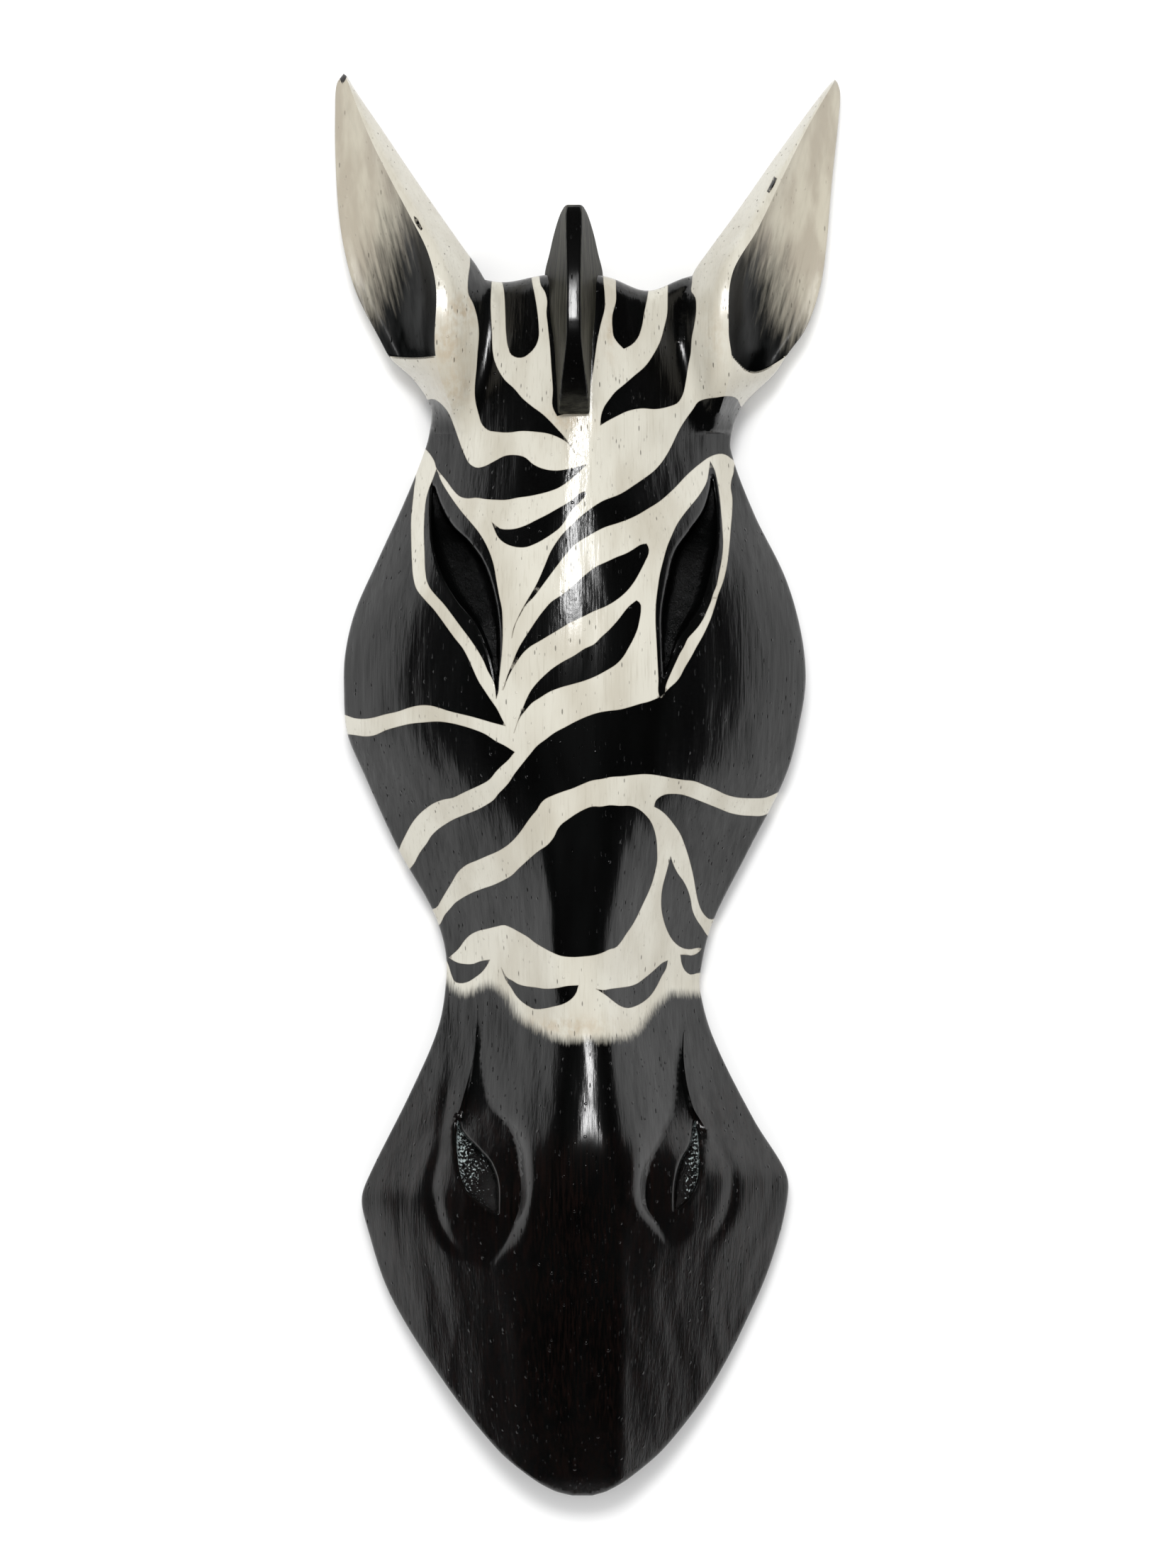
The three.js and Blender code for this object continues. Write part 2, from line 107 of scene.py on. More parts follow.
# Eye and nostril recesses: inner and outer edge from the lower tip to the upper tip.
EYE_DEPTH = 13
EYES = [
    {
        "inner": [
            (32.8, -32), (46.5, -31.1), (56.5, -31.4), (66.5, -32.9), (77.8, -36.6), (85.8, -42.1),
            (91, -47.4), (97.8, -51.4), (105.8, -54.4),
        ],
        "outer": [
            (32.8, -32.4), (41.5, -33.8), (48.5, -36), (56.5, -39.6), (64.5, -46.1), (72.8, -51.1),
            (82.8, -54.4), (94, -55.4), (105.8, -55),
        ],
    },
    {
        "inner": [
            (37.8, 26.6), (51.5, 26), (61.5, 26.1), (72.8, 28.1), (82, 30.6), (89.5, 35.6),
            (96.5, 40.4), (104, 42.8), (108.5, 43.3),
        ],
        "outer": [
            (37.8, 27), (44, 29.4), (51, 31.9), (56.5, 35.6), (64, 40.1), (75.3, 43.4),
            (85.3, 45.4), (97.8, 45.4), (108.5, 43.8),
        ],
    },
]
NOSTRIL_DEPTH = 8
NOSTRILS = [
    {
        "inner": [
            (-151.5, -31.7), (-141, -31.8), (-134, -34.1), (-129.8, -37.4), (-122.3, -44.4), (-118.5, -45.6),
        ],
        "outer": [
            (-151.5, -32.2), (-148.5, -37), (-143.5, -42.9), (-136, -45.6), (-126, -46.6), (-118.5, -46),
        ],
        "dish": [
            (-171, -34.4, -34.9, -35.4), (-166, -27.5, -32.5, -47.1), (-161, -22.4, -29, -52.1),
            (-148.5, -19.9, -24.1, -43), (-136, -19.4, -24.1, -47), (-122.3, -21.1, -26.9, -47.9),
            (-113.5, -21.1, -34.4, -44.9), (-98.5, -20.4, -38.4, -41), (-83.5, -20.4, -38, -39),
        ],
        "groove": [
            (-167, -45, 0), (-161, -49.5, 0.8), (-152, -53.2, 1.2), (-142, -54.8, 0.9), (-130, -52.6, 0.5),
            (-113.5, -50, 0.5), (-96, -47, 0),
        ],
    },
    {
        "inner": [
            (-150.5, 30.3), (-141, 30.6), (-133, 32.6), (-127, 35.8), (-121, 37), (-118.5, 37.3),
        ],
        "outer": [
            (-150.5, 30.8), (-147, 35), (-140, 38.6), (-132, 39.4), (-124, 39), (-118.5, 37.7),
        ],
        "dish": [
            (-163, 27, 29, 31), (-157, 21.5, 26, 37), (-148.5, 16.4, 20.6, 36),
            (-136, 15.9, 21.4, 40.6), (-123.5, 15.9, 26.4, 42), (-113.5, 15.1, 30.1, 36.9),
            (-98.5, 14.6, 31.4, 33.9), (-83.5, 13.9, 33.1, 33.9),
        ],
        "groove": [
            (-163, 42, 0), (-155, 47.6, 0.4), (-146, 50.1, 0.7), (-136, 50.1, 0.6), (-123.5, 45.1, 0.4),
            (-113.5, 42.6, 0.4), (-103, 39.5, 0),
        ],
    },
]
DISH_CURVE = 1.6
DISH_DEPTH = [(0, 0), (0.1, 2.5), (0.28, 4.5), (0.5, 4.5), (0.7, 3.5), (0.86, 1.5), (1, 0)]
DISH_LIP = 0.4
DISH_LIP_SHARE = 0.12
DISH_LIP_START_Y = -124
DISH_LIP_FADE = 8
GROOVE_WIDTH = 2.2
# Floor of a recess: the bluntness of its ends, and the fillet to its walls as shares of width and depth.
FLOOR_CURVE = 0.25
LEAST_SINK = 0.3
FILLET_SHARE = 0.25
FILLET_RISE = 0.35
EYE_SOCKET = {"depth": 2, "half_width": 20, "half_length": 42}
EYE_CENTRES = [(-43, 68), (36, 70)]

# Ears, from root to tip.
EARS = [
    {
        "side": -1,
        "outer": [
            (124, -54.5), (134, -56), (142.5, -61.5), (149.8, -69.4), (156, -73), (172, -81.2),
            (184, -85), (200, -87.8), (220.8, -89.1), (237, -89.2), (247, -88.6), (250.5, -86.2),
        ],
        "inner": [
            (124, -34), (150, -32), (172, -34), (181.5, -38.5), (189, -43.9), (203.5, -54.1),
            (216.3, -62.9), (231.5, -73.1), (243, -81), (248.5, -84.4), (250.5, -85.4),
        ],
        "ridge": [
            (124, -45), (150, -53.6), (175, -53.6), (187.8, -56.6), (200.5, -62.9), (215, -70.6),
            (231, -78.3), (250.5, -85.8),
        ],
        "hollow_start": 151,
        "hollow_end": 243,
        "root_round": 0.6,
    },
    {
        "side": 1,
        "outer": [
            (124, 50.5), (134, 55), (144.5, 65.6), (151, 70), (161, 77), (175.8, 82), (189.8, 84.1),
            (211, 85.9), (234.8, 88.4), (244, 88.9), (248.5, 87.6),
        ],
        "inner": [
            (124, 34), (150, 32), (172, 34), (181, 37.6), (186.8, 41.6), (201.5, 52.3), (221.5, 66.3),
            (240.8, 80.4), (247, 85.4), (248.5, 87),
        ],
        "ridge": [
            (124, 44), (147, 50.6), (160, 49.6), (180, 50.9), (196, 60), (215, 69.1), (232.8, 78.1),
            (248.5, 87.3),
        ],
        "hollow_start": 146,
        "hollow_end": 241,
        "root_round": 6,
    },
]
# Heights up the ears: along the ridge and along both edges.
EAR_RIDGE_HEIGHT = [(124, 30), (140, 42), (160, 46), (180, 44), (205, 35), (230, 22), (251, 9)]
EAR_INNER_HEIGHT = [(124, 30), (160, 34), (185, 26), (205, 20), (230, 13), (251, 6)]
EAR_OUTER_HEIGHT = [(124, 20), (150, 17), (180, 15), (215, 12), (251, 6)]
# The hollow's depth from its root to its tip, then shares of it from the ridge to the outer edge.
HOLLOW_DEPTH = [(0, 15), (0.15, 16), (0.5, 13), (0.8, 8), (1, 5)]
HOLLOW_SUNK = [(0, 0), (0.06, 0.45), (0.16, 0.9), (0.35, 1), (0.6, 0.85), (0.82, 0.5), (1, 0)]
HOLLOW_STEP = 1.2
# The swell of the wood from the ridge to each edge, and the fall to the inner edge.
SWELL_OUTSIDE = [(0, 0), (0.06, 0.3), (0.16, 0.7), (0.35, 1), (0.6, 1), (0.82, 0.5), (1, 0)]
SWELL_INSIDE = [(0, 0), (0.3, 0.25), (0.5, 0.6), (0.8, 0.4), (1, 0)]
INSIDE_FALL = [(0, 0), (0.3, 0.08), (0.5, 0.38), (0.8, 0.75), (1, 1)]
SWELL_SHARE = 0.16
EAR_BLEND = 7.0
EAR_BLEND_FADE = 12
EAR_CARVING = 0.5
EAR_ROOT_Y = 140

# Mane crest: y, front height, front width, back height and back width.
CREST_X = -5.0
CREST_ROUND = 0.9
CREST_TOP = 83.98
CREST = [
    (130.5, 64, 10.8, 50, 12.8), (138, 72, 10.2, 48, 13.4), (148, 80, 7.6, 46, 15.4),
    (157, 83.5, 5.6, 44, 17.6), (163, 84, 5.3, 43, 19.4), (169, 83.4, 5.2, 42, 20.6),
    (180, 81.6, 5.2, 40, 20.4), (187, 79.6, 5.4, 43, 17.2), (194, 76.8, 5.8, 49, 14),
    (201, 73, 6, 57, 9.6), (204.3, 70.5, 5.4, 62, 6),
]

# Trough hollowed into the back.
TROUGH_LOW_Y = -196
TROUGH_HIGH_Y = 118
TROUGH_WALL = 19
TROUGH_HEIGHT = 33
TROUGH_END = 26
TROUGH_CURVE = 0.4

# Traces of the knife: shallow facets along the grain, as width, length, depth and offset in millimetres.
FACETS = [(11, 38, 0.14, 0.3), (18, 60, 0.22, 1.7), (6.5, 26, 0.05, 2.9)]
FACET_SLANT = 0.9
# Roughness of the recess floors, as the depth and size of the lumps.
EYE_LUMPS = (0.12, 4.0)
NOSTRIL_LUMPS = (0.4, 3.2)
LUMP_SEED = 5
LUMP_WAVES = 8
# Roughness of the paint there, which also sets how thick the painted glints lie, and how much a nostril's
# floor loses of it downward and inward.
EYE_ROUGHNESS = 0.3
LOSS_DOWN = 0.35
LOSS_INWARD = 0.25
# Every recess, with its depth and lumps.
RECESSES = [(eye, EYE_DEPTH, EYE_LUMPS) for eye in EYES]
RECESSES += [(nostril, NOSTRIL_DEPTH, NOSTRIL_LUMPS) for nostril in NOSTRILS]

# Mesh spacing in millimetres.
FRONT_SPACING = 1.15
OUTLINE_SPACING = 1.1
BACK_SPACING = 3.6
LINE_SPACING = 0.9
TROUGH_ROWS = 90
TROUGH_COLUMNS = 19
CREST_ROWS = 76
CREST_COLUMNS = 10
TURN_STEPS = 5
DISH_SPACING = 0.7
FEATURE_GAP = 0.55
GUIDE_GAP = 0.12
EDGE_ROUND = 0.6
RECESS_WALL = 0.5
RIM_ROUND = 0.9
RIM_FALL = 0.7
# Lines of points beside a recess's edge, as distances inward.
BESIDE_RECESS = (RECESS_WALL * 0.5, RECESS_WALL, 1.2, -RIM_ROUND / 3, -RIM_ROUND * 0.67, -RIM_ROUND)
# Rings down the mask's side, as a share of the height and of the small bevel at the bottom.
SIDE_RINGS = [(0.78, 0), (0.55, 0), (0.32, 0), (0.12, 0), (0.03, 0.3), (0, 1)]
BOTTOM_BEVEL = 0.35
PAINT_REACH = 6.0
MUZZLE_REACH = 40.0
SHADE_REACH = 60.0
# Edges between faces that turn by more than this, in degrees, are drawn sharp.
SHARP_EDGE = 38
CORNER = 62
CURVE_STEPS = 8

# Black paint, as outlines in the photograph's pixels. They run on past the mask's edge.
STRIPES = {
    "forehead_left": [
        (663, 350), (663, 374), (661, 388), (660, 402), (661, 415), (667, 427), (672, 442), (675, 458),
        (673, 510), (671, 567), (675, 583), (681, 600), (689, 607), (700, 609), (718, 610), (735, 608),
        (755, 609), (775, 612), (790, 618), (800, 624), (811, 639), (799, 620), (785, 604), (765, 584),
        (750, 573), (737, 562), (725, 548), (712, 536), (703, 522), (697, 507), (695, 495), (694, 470),
        (692, 430), (693, 404), (694, 392), (694, 350),
    ],
    "forehead_left_drop": [
        (708, 350), (708, 393), (711, 410), (713, 445), (714, 470), (717, 490), (721, 500), (728, 504),
        (738, 504), (746, 499), (755, 489), (760, 475), (760, 462), (758, 440), (754, 415), (750, 395),
        (750, 350),
    ],
    "crest_foot": [
        (761, 350), (761, 387), (763, 402), (769, 412), (772, 425), (771, 440), (773, 460), (776, 490),
        (778, 520), (780, 550), (780, 575), (786, 587), (800, 583), (815, 582), (828, 580), (831, 573),
        (831, 560), (833, 545), (837, 520), (843, 478), (848, 455), (853, 435), (853, 415), (851, 395),
        (852, 350),
    ],
    "forehead_right_drop": [
        (869, 350), (869, 405), (869, 425), (864, 445), (864, 462), (866, 475), (872, 484), (880, 492),
        (890, 487), (900, 476), (905, 462), (909, 440), (913, 420), (915, 405), (915, 350),
    ],
    "forehead_right": [
        (942, 350), (942, 420), (941, 445), (937, 462), (932, 480), (922, 500), (910, 517), (895, 530),
        (880, 543), (868, 553), (860, 563), (852, 575), (848, 587), (847, 600), (855, 595), (870, 587),
        (885, 580), (905, 576), (925, 577), (945, 573), (955, 569), (963, 557), (967, 540), (971, 515),
        (974, 500), (976, 475), (980, 455), (982, 435), (980, 418), (975, 411), (976, 400), (976, 350),
    ],
    "diagonal": [
        (1070, 585), (1044, 572), (1041, 564), (1035, 560), (1025, 559), (1010, 561), (995, 563),
        (985, 567), (978, 577), (970, 588), (962, 600), (955, 613), (948, 628), (941, 641), (933, 653),
        (922, 665), (910, 674), (897, 683), (875, 697), (850, 707), (825, 724), (806, 741), (795, 752),
        (785, 765), (776, 780), (769, 797), (755, 828), (748, 840), (738, 857), (730, 873), (724, 888),
        (722, 900), (728, 878), (735, 865), (742, 853), (752, 843), (762, 830), (782, 803), (799, 781),
        (808, 771), (818, 763), (830, 756), (842, 749), (855, 743), (868, 739), (885, 733), (900, 726),
        (915, 717), (928, 709), (950, 690), (970, 669), (990, 652), (1000, 645), (1010, 641),
        (1018, 640), (1025, 642), (1033, 648), (1062, 660),
    ],
    "neck_left": [
        (570, 566), (603, 564), (611, 563), (620, 568), (631, 580), (640, 600), (647, 620), (655, 641),
        (663, 655), (673, 660), (683, 658), (697, 651), (713, 643), (727, 642), (740, 645), (752, 655),
        (762, 660), (773, 663), (785, 664), (800, 662), (828, 655), (810, 672), (800, 680), (788, 688),
        (775, 693), (760, 697), (745, 700), (730, 702), (715, 705), (700, 705), (685, 704), (672, 702),
        (660, 703), (650, 701), (640, 692), (632, 681), (624, 671), (618, 664), (616, 661), (613, 651),
        (607, 641), (600, 633), (570, 615),
    ],
    "brow_left": [
        (694, 737), (700, 742), (706, 746), (715, 747), (727, 746), (742, 741), (758, 733), (772, 726),
        (786, 718), (800, 710), (810, 703), (818, 696), (825, 693), (826, 698), (820, 706), (806, 720),
        (798, 733), (790, 744), (780, 752), (768, 760), (755, 767), (740, 772), (725, 771), (712, 766),
        (703, 758), (698, 748),
    ],
    "nose_upper": [
        (710, 973), (713, 962), (717, 950), (722, 938), (727, 925), (733, 912), (741, 899), (750, 885),
        (768, 860), (778, 849), (790, 841), (803, 831), (827, 810), (840, 800), (855, 793), (870, 786),
        (885, 780), (895, 774), (905, 768), (912, 767), (915, 773), (915, 780), (910, 792), (903, 806),
        (895, 820), (885, 833), (870, 846), (855, 855), (838, 862), (820, 871), (803, 879), (790, 887),
        (775, 896), (760, 905), (748, 912), (738, 921), (730, 932), (722, 945), (716, 957),
    ],
    "nose_lower": [
        (725, 1034), (729, 1022), (733, 1010), (738, 998), (743, 986), (750, 973), (758, 963),
        (768, 953), (777, 945), (795, 933), (810, 925), (825, 915), (838, 909), (848, 899), (858, 890),
        (870, 877), (890, 853), (898, 847), (903, 851), (904, 862), (902, 875), (899, 888), (894, 900),
        (886, 915), (878, 928), (868, 938), (855, 946), (840, 954), (825, 960), (808, 965), (790, 970),
        (775, 976), (762, 984), (750, 992), (742, 1001), (733, 1013),
    ],
    "eye_left": [
        (616, 661), (611, 675), (605, 690), (601, 705), (599, 725), (598, 750), (599, 780), (600, 805),
        (603, 822), (607, 830), (615, 840), (626, 852), (636, 865), (647, 880), (667, 907), (676, 921),
        (683, 934), (688, 946), (693, 955), (697, 963), (699, 975), (700, 986), (703, 975), (704, 960),
        (706, 940), (708, 920), (709, 900), (709, 880), (708, 860), (704, 840), (700, 818), (697, 800),
        (692, 783), (685, 767), (676, 752), (664, 737), (652, 723), (640, 707), (630, 692), (622, 678),
    ],
    "eye_right": [
        (1002, 651), (1000, 665), (997, 680), (992, 690), (984, 702), (975, 713), (963, 728),
        (955, 740), (948, 755), (941, 772), (936, 790), (931, 810), (928, 830), (926, 845), (925, 862),
        (925, 880), (926, 900), (928, 940), (929, 960), (929, 978), (931, 985), (936, 983), (939, 968),
        (947, 948), (953, 935), (959, 922), (965, 912), (970, 901), (978, 892), (985, 884), (992, 873),
        (998, 860), (1003, 848), (1007, 835), (1010, 828), (1014, 810), (1018, 790), (1020, 770),
        (1019, 745), (1017, 720), (1015, 700), (1012, 680), (1008, 663),
    ],
    "cheek_left": [
        (560, 640), (586, 668), (584, 690), (582, 710), (580, 730), (580, 760), (581, 790), (583, 815),
        (587, 830), (600, 847), (612, 860), (621, 872), (631, 886), (642, 901), (653, 915), (661, 930),
        (668, 946), (675, 961), (684, 975), (694, 990), (701, 1000), (706, 1010), (713, 1024),
        (697, 1020), (680, 1015), (662, 1010), (645, 1006), (630, 1002), (618, 998), (605, 995),
        (592, 995), (578, 998), (560, 1004), (542, 1008), (528, 1012), (514, 1014), (500, 1013),
        (486, 1008), (430, 1000), (430, 700),
    ],
    "cheek_left_lower": [
        (430, 1034), (491, 1036), (500, 1037), (515, 1039), (526, 1038), (545, 1030), (562, 1025),
        (580, 1021), (600, 1019), (618, 1018), (635, 1020), (652, 1024), (668, 1029), (685, 1036),
        (700, 1046), (712, 1052), (726, 1061), (715, 1074), (708, 1080), (700, 1088), (690, 1100),
        (678, 1107), (665, 1113), (650, 1120), (640, 1125), (625, 1128), (612, 1133), (600, 1141),
        (590, 1150), (582, 1160), (576, 1170), (571, 1180), (566, 1190), (562, 1200), (540, 1215),
        (430, 1160),
    ],
    "cheek_right": [
        (1060, 640), (1036, 657), (1035, 667), (1032, 677), (1031, 688), (1033, 700), (1033, 720),
        (1031, 745), (1029, 770), (1026, 795), (1021, 818), (1013, 840), (1008, 857), (1003, 872),
        (997, 886), (990, 900), (983, 912), (975, 927), (966, 942), (958, 957), (953, 963), (945, 970),
        (938, 977), (931, 983), (925, 986), (915, 990), (903, 993), (890, 997), (875, 1001), (858, 1003),
        (842, 1006), (825, 1012), (810, 1019), (797, 1026), (782, 1034), (770, 1043), (758, 1052),
        (747, 1065), (735, 1080), (725, 1093), (718, 1104), (710, 1113), (703, 1120), (697, 1128),
        (687, 1135), (672, 1143), (657, 1149), (640, 1156), (628, 1163), (618, 1170), (608, 1180),
        (602, 1190), (595, 1199), (590, 1207), (585, 1217), (577, 1227), (540, 1245), (560, 1300),
        (608, 1283), (616, 1280), (621, 1272), (628, 1260), (636, 1247), (648, 1228), (658, 1220),
        (672, 1214), (688, 1207), (702, 1201), (715, 1193), (726, 1183), (735, 1172), (742, 1162),
        (750, 1151), (757, 1143), (763, 1133), (768, 1128), (780, 1122), (793, 1117), (808, 1112),
        (822, 1106), (835, 1101), (848, 1099), (862, 1096), (878, 1095), (895, 1093), (910, 1092),
        (930, 1094), (945, 1097), (962, 1100), (980, 1102), (995, 1108), (1010, 1114), (1022, 1120),
        (1035, 1124), (1060, 1126), (1080, 1125), (1099, 1117), (1200, 1090), (1200, 700),
    ],
    "nose_bridge": [
        (595, 1312), (619, 1306), (628, 1290), (635, 1282), (642, 1274), (652, 1267), (665, 1260),
        (680, 1254), (695, 1249), (710, 1242), (722, 1235), (732, 1225), (742, 1216), (753, 1206),
        (762, 1199), (770, 1194), (777, 1187), (782, 1180), (786, 1171), (792, 1163), (800, 1157),
        (810, 1150), (822, 1143), (835, 1138), (848, 1138), (860, 1136), (875, 1137), (890, 1137),
        (900, 1141), (910, 1149), (918, 1159), (923, 1171), (926, 1185), (927, 1200), (927, 1215),
        (924, 1230), (920, 1245), (915, 1258), (908, 1273), (892, 1305), (883, 1318), (875, 1330),
        (868, 1337), (860, 1339), (852, 1343), (840, 1347), (825, 1349), (805, 1350), (790, 1348),
        (778, 1343), (765, 1336), (755, 1330), (745, 1322), (733, 1315), (720, 1308), (712, 1305),
        (700, 1307), (688, 1310), (675, 1313), (663, 1319), (655, 1327), (648, 1337), (633, 1351),
        (645, 1358), (655, 1360), (667, 1360), (678, 1356), (691, 1354), (688, 1360), (680, 1371),
        (670, 1379), (660, 1385), (650, 1387), (642, 1385), (637, 1375), (633, 1362), (628, 1352),
        (600, 1350),
    ],
    "waist_left": [
        (707, 1365), (711, 1373), (716, 1380), (722, 1383), (730, 1388), (740, 1391), (755, 1393),
        (770, 1395), (785, 1394), (800, 1391), (816, 1390), (812, 1402), (805, 1410), (795, 1416),
        (780, 1420), (765, 1423), (753, 1423), (745, 1419), (735, 1412), (727, 1403), (721, 1393),
        (714, 1383),
    ],
    "waist_right": [
        (841, 1395), (850, 1397), (862, 1395), (878, 1393), (890, 1391), (900, 1387), (908, 1381),
        (918, 1373), (928, 1364), (935, 1358), (942, 1355), (940, 1365), (933, 1378), (926, 1392),
        (918, 1404), (908, 1413), (897, 1419), (885, 1422), (875, 1419), (865, 1412), (855, 1404),
    ],
    "cheek_right_lower": [
        (923, 1138), (925, 1130), (930, 1125), (938, 1121), (950, 1120), (962, 1121), (972, 1124),
        (985, 1129), (1000, 1135), (1015, 1141), (1030, 1147), (1045, 1150), (1060, 1151), (1075, 1151),
        (1086, 1147), (1150, 1130), (1150, 1270), (1008, 1296), (1002, 1297), (996, 1293), (990, 1285),
        (985, 1272), (982, 1258), (979, 1240), (975, 1222), (971, 1207), (966, 1192), (960, 1177),
        (950, 1162), (941, 1151), (932, 1143),
    ],
    "waist_drop": [
        (946, 1208), (943, 1220), (939, 1235), (935, 1250), (933, 1265), (933, 1280), (936, 1297),
        (941, 1312), (948, 1325), (957, 1334), (965, 1338), (975, 1339), (985, 1337), (990, 1338),
        (985, 1344), (975, 1348), (968, 1347), (960, 1347), (962, 1360), (968, 1371), (975, 1375),
        (982, 1373), (1020, 1375), (1030, 1322), (999, 1321), (990, 1308), (983, 1298), (977, 1285),
        (974, 1268), (970, 1255), (964, 1243), (956, 1232), (950, 1220),
    ],
}
# Dark chips in the ears' paint, outlined in the same way.
CHIPS = {
    "left_tip": [(479, 100), (487, 99), (489, 108), (487, 113), (483, 119), (480, 113)],
    "left_ridge": [(584, 305), (588, 308), (592, 315), (596, 323), (594, 325), (589, 319), (585, 311)],
    "right_ridge": [(1092, 249), (1096, 252), (1091, 263), (1085, 272), (1082, 270), (1087, 260)],
}
MUZZLE_TOP = [
    (560, 1350), (629, 1383), (640, 1395), (655, 1403), (670, 1398), (688, 1390), (700, 1394),
    (712, 1405), (722, 1420), (732, 1434), (745, 1445), (758, 1452), (772, 1460), (790, 1466),
    (810, 1468), (830, 1467), (850, 1467), (870, 1465), (885, 1463), (898, 1456), (908, 1443),
    (918, 1430), (926, 1420), (936, 1410), (946, 1402), (958, 1402), (970, 1403), (988, 1402),
    (1060, 1380),
]
MUZZLE_REST = [(1200, 1500), (1200, 2212), (400, 2212), (400, 1500)]
EAR_SHADE_LINES = {
    -1: [(440, 520), (508, 445), (540, 380), (568, 305), (600, 220)],
    1: [(1050, 260), (1058, 335), (1080, 361), (1095, 397), (1103, 431), (1117, 456), (1190, 500)],
}
EAR_DARK_SIDE = {-1: [(769, 220), (769, 760), (409, 760)], 1: [(1250, 760), (889, 760), (889, 220)]}
EAR_SLANT = 0.24
# Soft spots, as pixel place, half width, half height and strength: thick lumpy paint, and brown stains with
# painted shade.
LUMPY_PAINT = [
    (822, 655, 40, 100, 0.17), (620, 370, 34, 48, 0.14), (1040, 330, 40, 40, 0.12), (800, 830, 34, 70, 0.08),
]
# Brown stains, which also stand as painted shade in the hollows where the ears and the crest meet the head.
STAINS_AND_SHADE = [
    (650, 440, 26, 26, 0.7), (632, 485, 24, 40, 0.6), (640, 545, 26, 34, 0.5), (800, 592, 34, 16, 0.6),
    (861, 470, 10, 40, 0.4), (1010, 470, 20, 50, 0.3), (800, 1448, 60, 14, 0.6),
]


# Curves and tables


def hermite(t, start, start_slope, end, end_slope):
    """Point at t, from 0 to 1, on the cubic between two ends with given slopes."""
    t2 = t * t
    t3 = t2 * t
    return (
        (2 * t3 - 3 * t2 + 1) * start
        + (t3 - 2 * t2 + t) * start_slope
        + (3 * t2 - 2 * t3) * end
        + (t3 - t2) * end_slope
    )


def along(table, y, column=1):
    """Values at y of a smooth curve through a column of a table."""
    rows = np.array(table, float)
    places = rows[:, 0]
    values = rows[:, column]
    y = np.clip(np.asarray(y, float), places[0], places[-1])
    last = len(places) - 1
    i = np.clip(np.searchsorted(places, y, side="left") - 1, 0, last - 1)
    before = np.maximum(i - 1, 0)
    after = np.minimum(i + 2, last)
    step = places[i + 1] - places[i]
    start_slope = (values[i + 1] - values[before]) / (places[i + 1] - places[before]) * step
    end_slope = (values[after] - values[i]) / (places[after] - places[i]) * step
    return hermite((y - places[i]) / step, values[i], start_slope, values[i + 1], end_slope)


def bump(distance):
    """A soft bell: 1 at no distance, a third at 1 and nothing far away."""
    return np.exp(-distance * distance)


def smooth_step(low, high, value):
    """0 at low, 1 at high and an even S between. low may be the greater of the two."""
    t = np.clip((value - low) / (high - low), 0, 1)
    return t * t * (3 - 2 * t)


def smooth_max(a, b, width):
    """The greater of two heights, with a round join where they are closer than the width."""
    share = np.clip(0.5 + 0.5 * (a - b) / width, 0, 1)
    return b + (a - b) * share + width * share * (1 - share)


def on_face(points):
    """Photograph pixels as millimetres on the face."""
    points = np.array(points, float)
    x = (points[:, 0] - PHOTO_SIZE[0] / 2) / PIXELS_PER_MM
    y = (PHOTO_SIZE[1] / 2 - points[:, 1]) / PIXELS_PER_MM
    return np.column_stack([x, y])


def spaced(line, spacing):
    """Points at even steps along a dense line, with both ends kept."""
    lengths = np.hypot(*np.diff(line, axis=0).T)
    run = np.concatenate([[0], np.cumsum(lengths)])
    count = max(1, int(round(run[-1] / spacing)))
    where = np.linspace(0, run[-1], count + 1)
    return np.column_stack([np.interp(where, run, line[:, 0]), np.interp(where, run, line[:, 1])])


def turn_at(before, here, after):
    """How sharply a line turns at a point, in degrees."""
    a = here - before
    b = after - here
    return abs(math.degrees(math.atan2(a[0] * b[1] - a[1] * b[0], a @ b)))


def rounded_line(points, closed, spacing):
    """A smooth line through the points, sharp only where they turn by more than the corner angle."""
    count = len(points)
    dense = []
    for i in range(count if closed else count - 1):
        p1 = points[i]
        p2 = points[(i + 1) % count]
        p0 = points[i - 1] if closed or i else p1
        p3 = points[(i + 2) % count] if closed or i + 2 < count else p2
        span = np.hypot(*(p2 - p1))
        m1 = (p2 - p1) if turn_at(p0, p1, p2) > CORNER else tangent(p0, p1, p2) * span
        m2 = (p2 - p1) if turn_at(p1, p2, p3) > CORNER else tangent(p1, p2, p3) * span
        for step in range(CURVE_STEPS):
            dense.append(hermite(step / CURVE_STEPS, p1, m1, p2, m2))
    dense.append(points[0] if closed else points[-1])
    dense = np.array(dense)
    marks = [0]
    for i in range(1, count):
        if closed or i < count - 1:
            if turn_at(points[i - 1], points[i], points[(i + 1) % count]) > CORNER:
                marks.append(i * CURVE_STEPS)
    marks.append(len(dense) - 1)
    stretches = [spaced(dense[a : b + 1], spacing)[:-1] for a, b in zip(marks, marks[1:])]
    stretches.append(dense[-1:])
    line = np.concatenate(stretches)
    return line[:-1] if closed else line


def tangent(before, here, after):
    """Direction of a smooth line at a point, weighted toward the nearer neighbour."""
    a = max(np.hypot(*(here - before)), 1e-6)
    b = max(np.hypot(*(after - here)), 1e-6)
    direction = (here - before) / a * b + (after - here) / b * a
    return direction / (a + b)


# Distances to lines


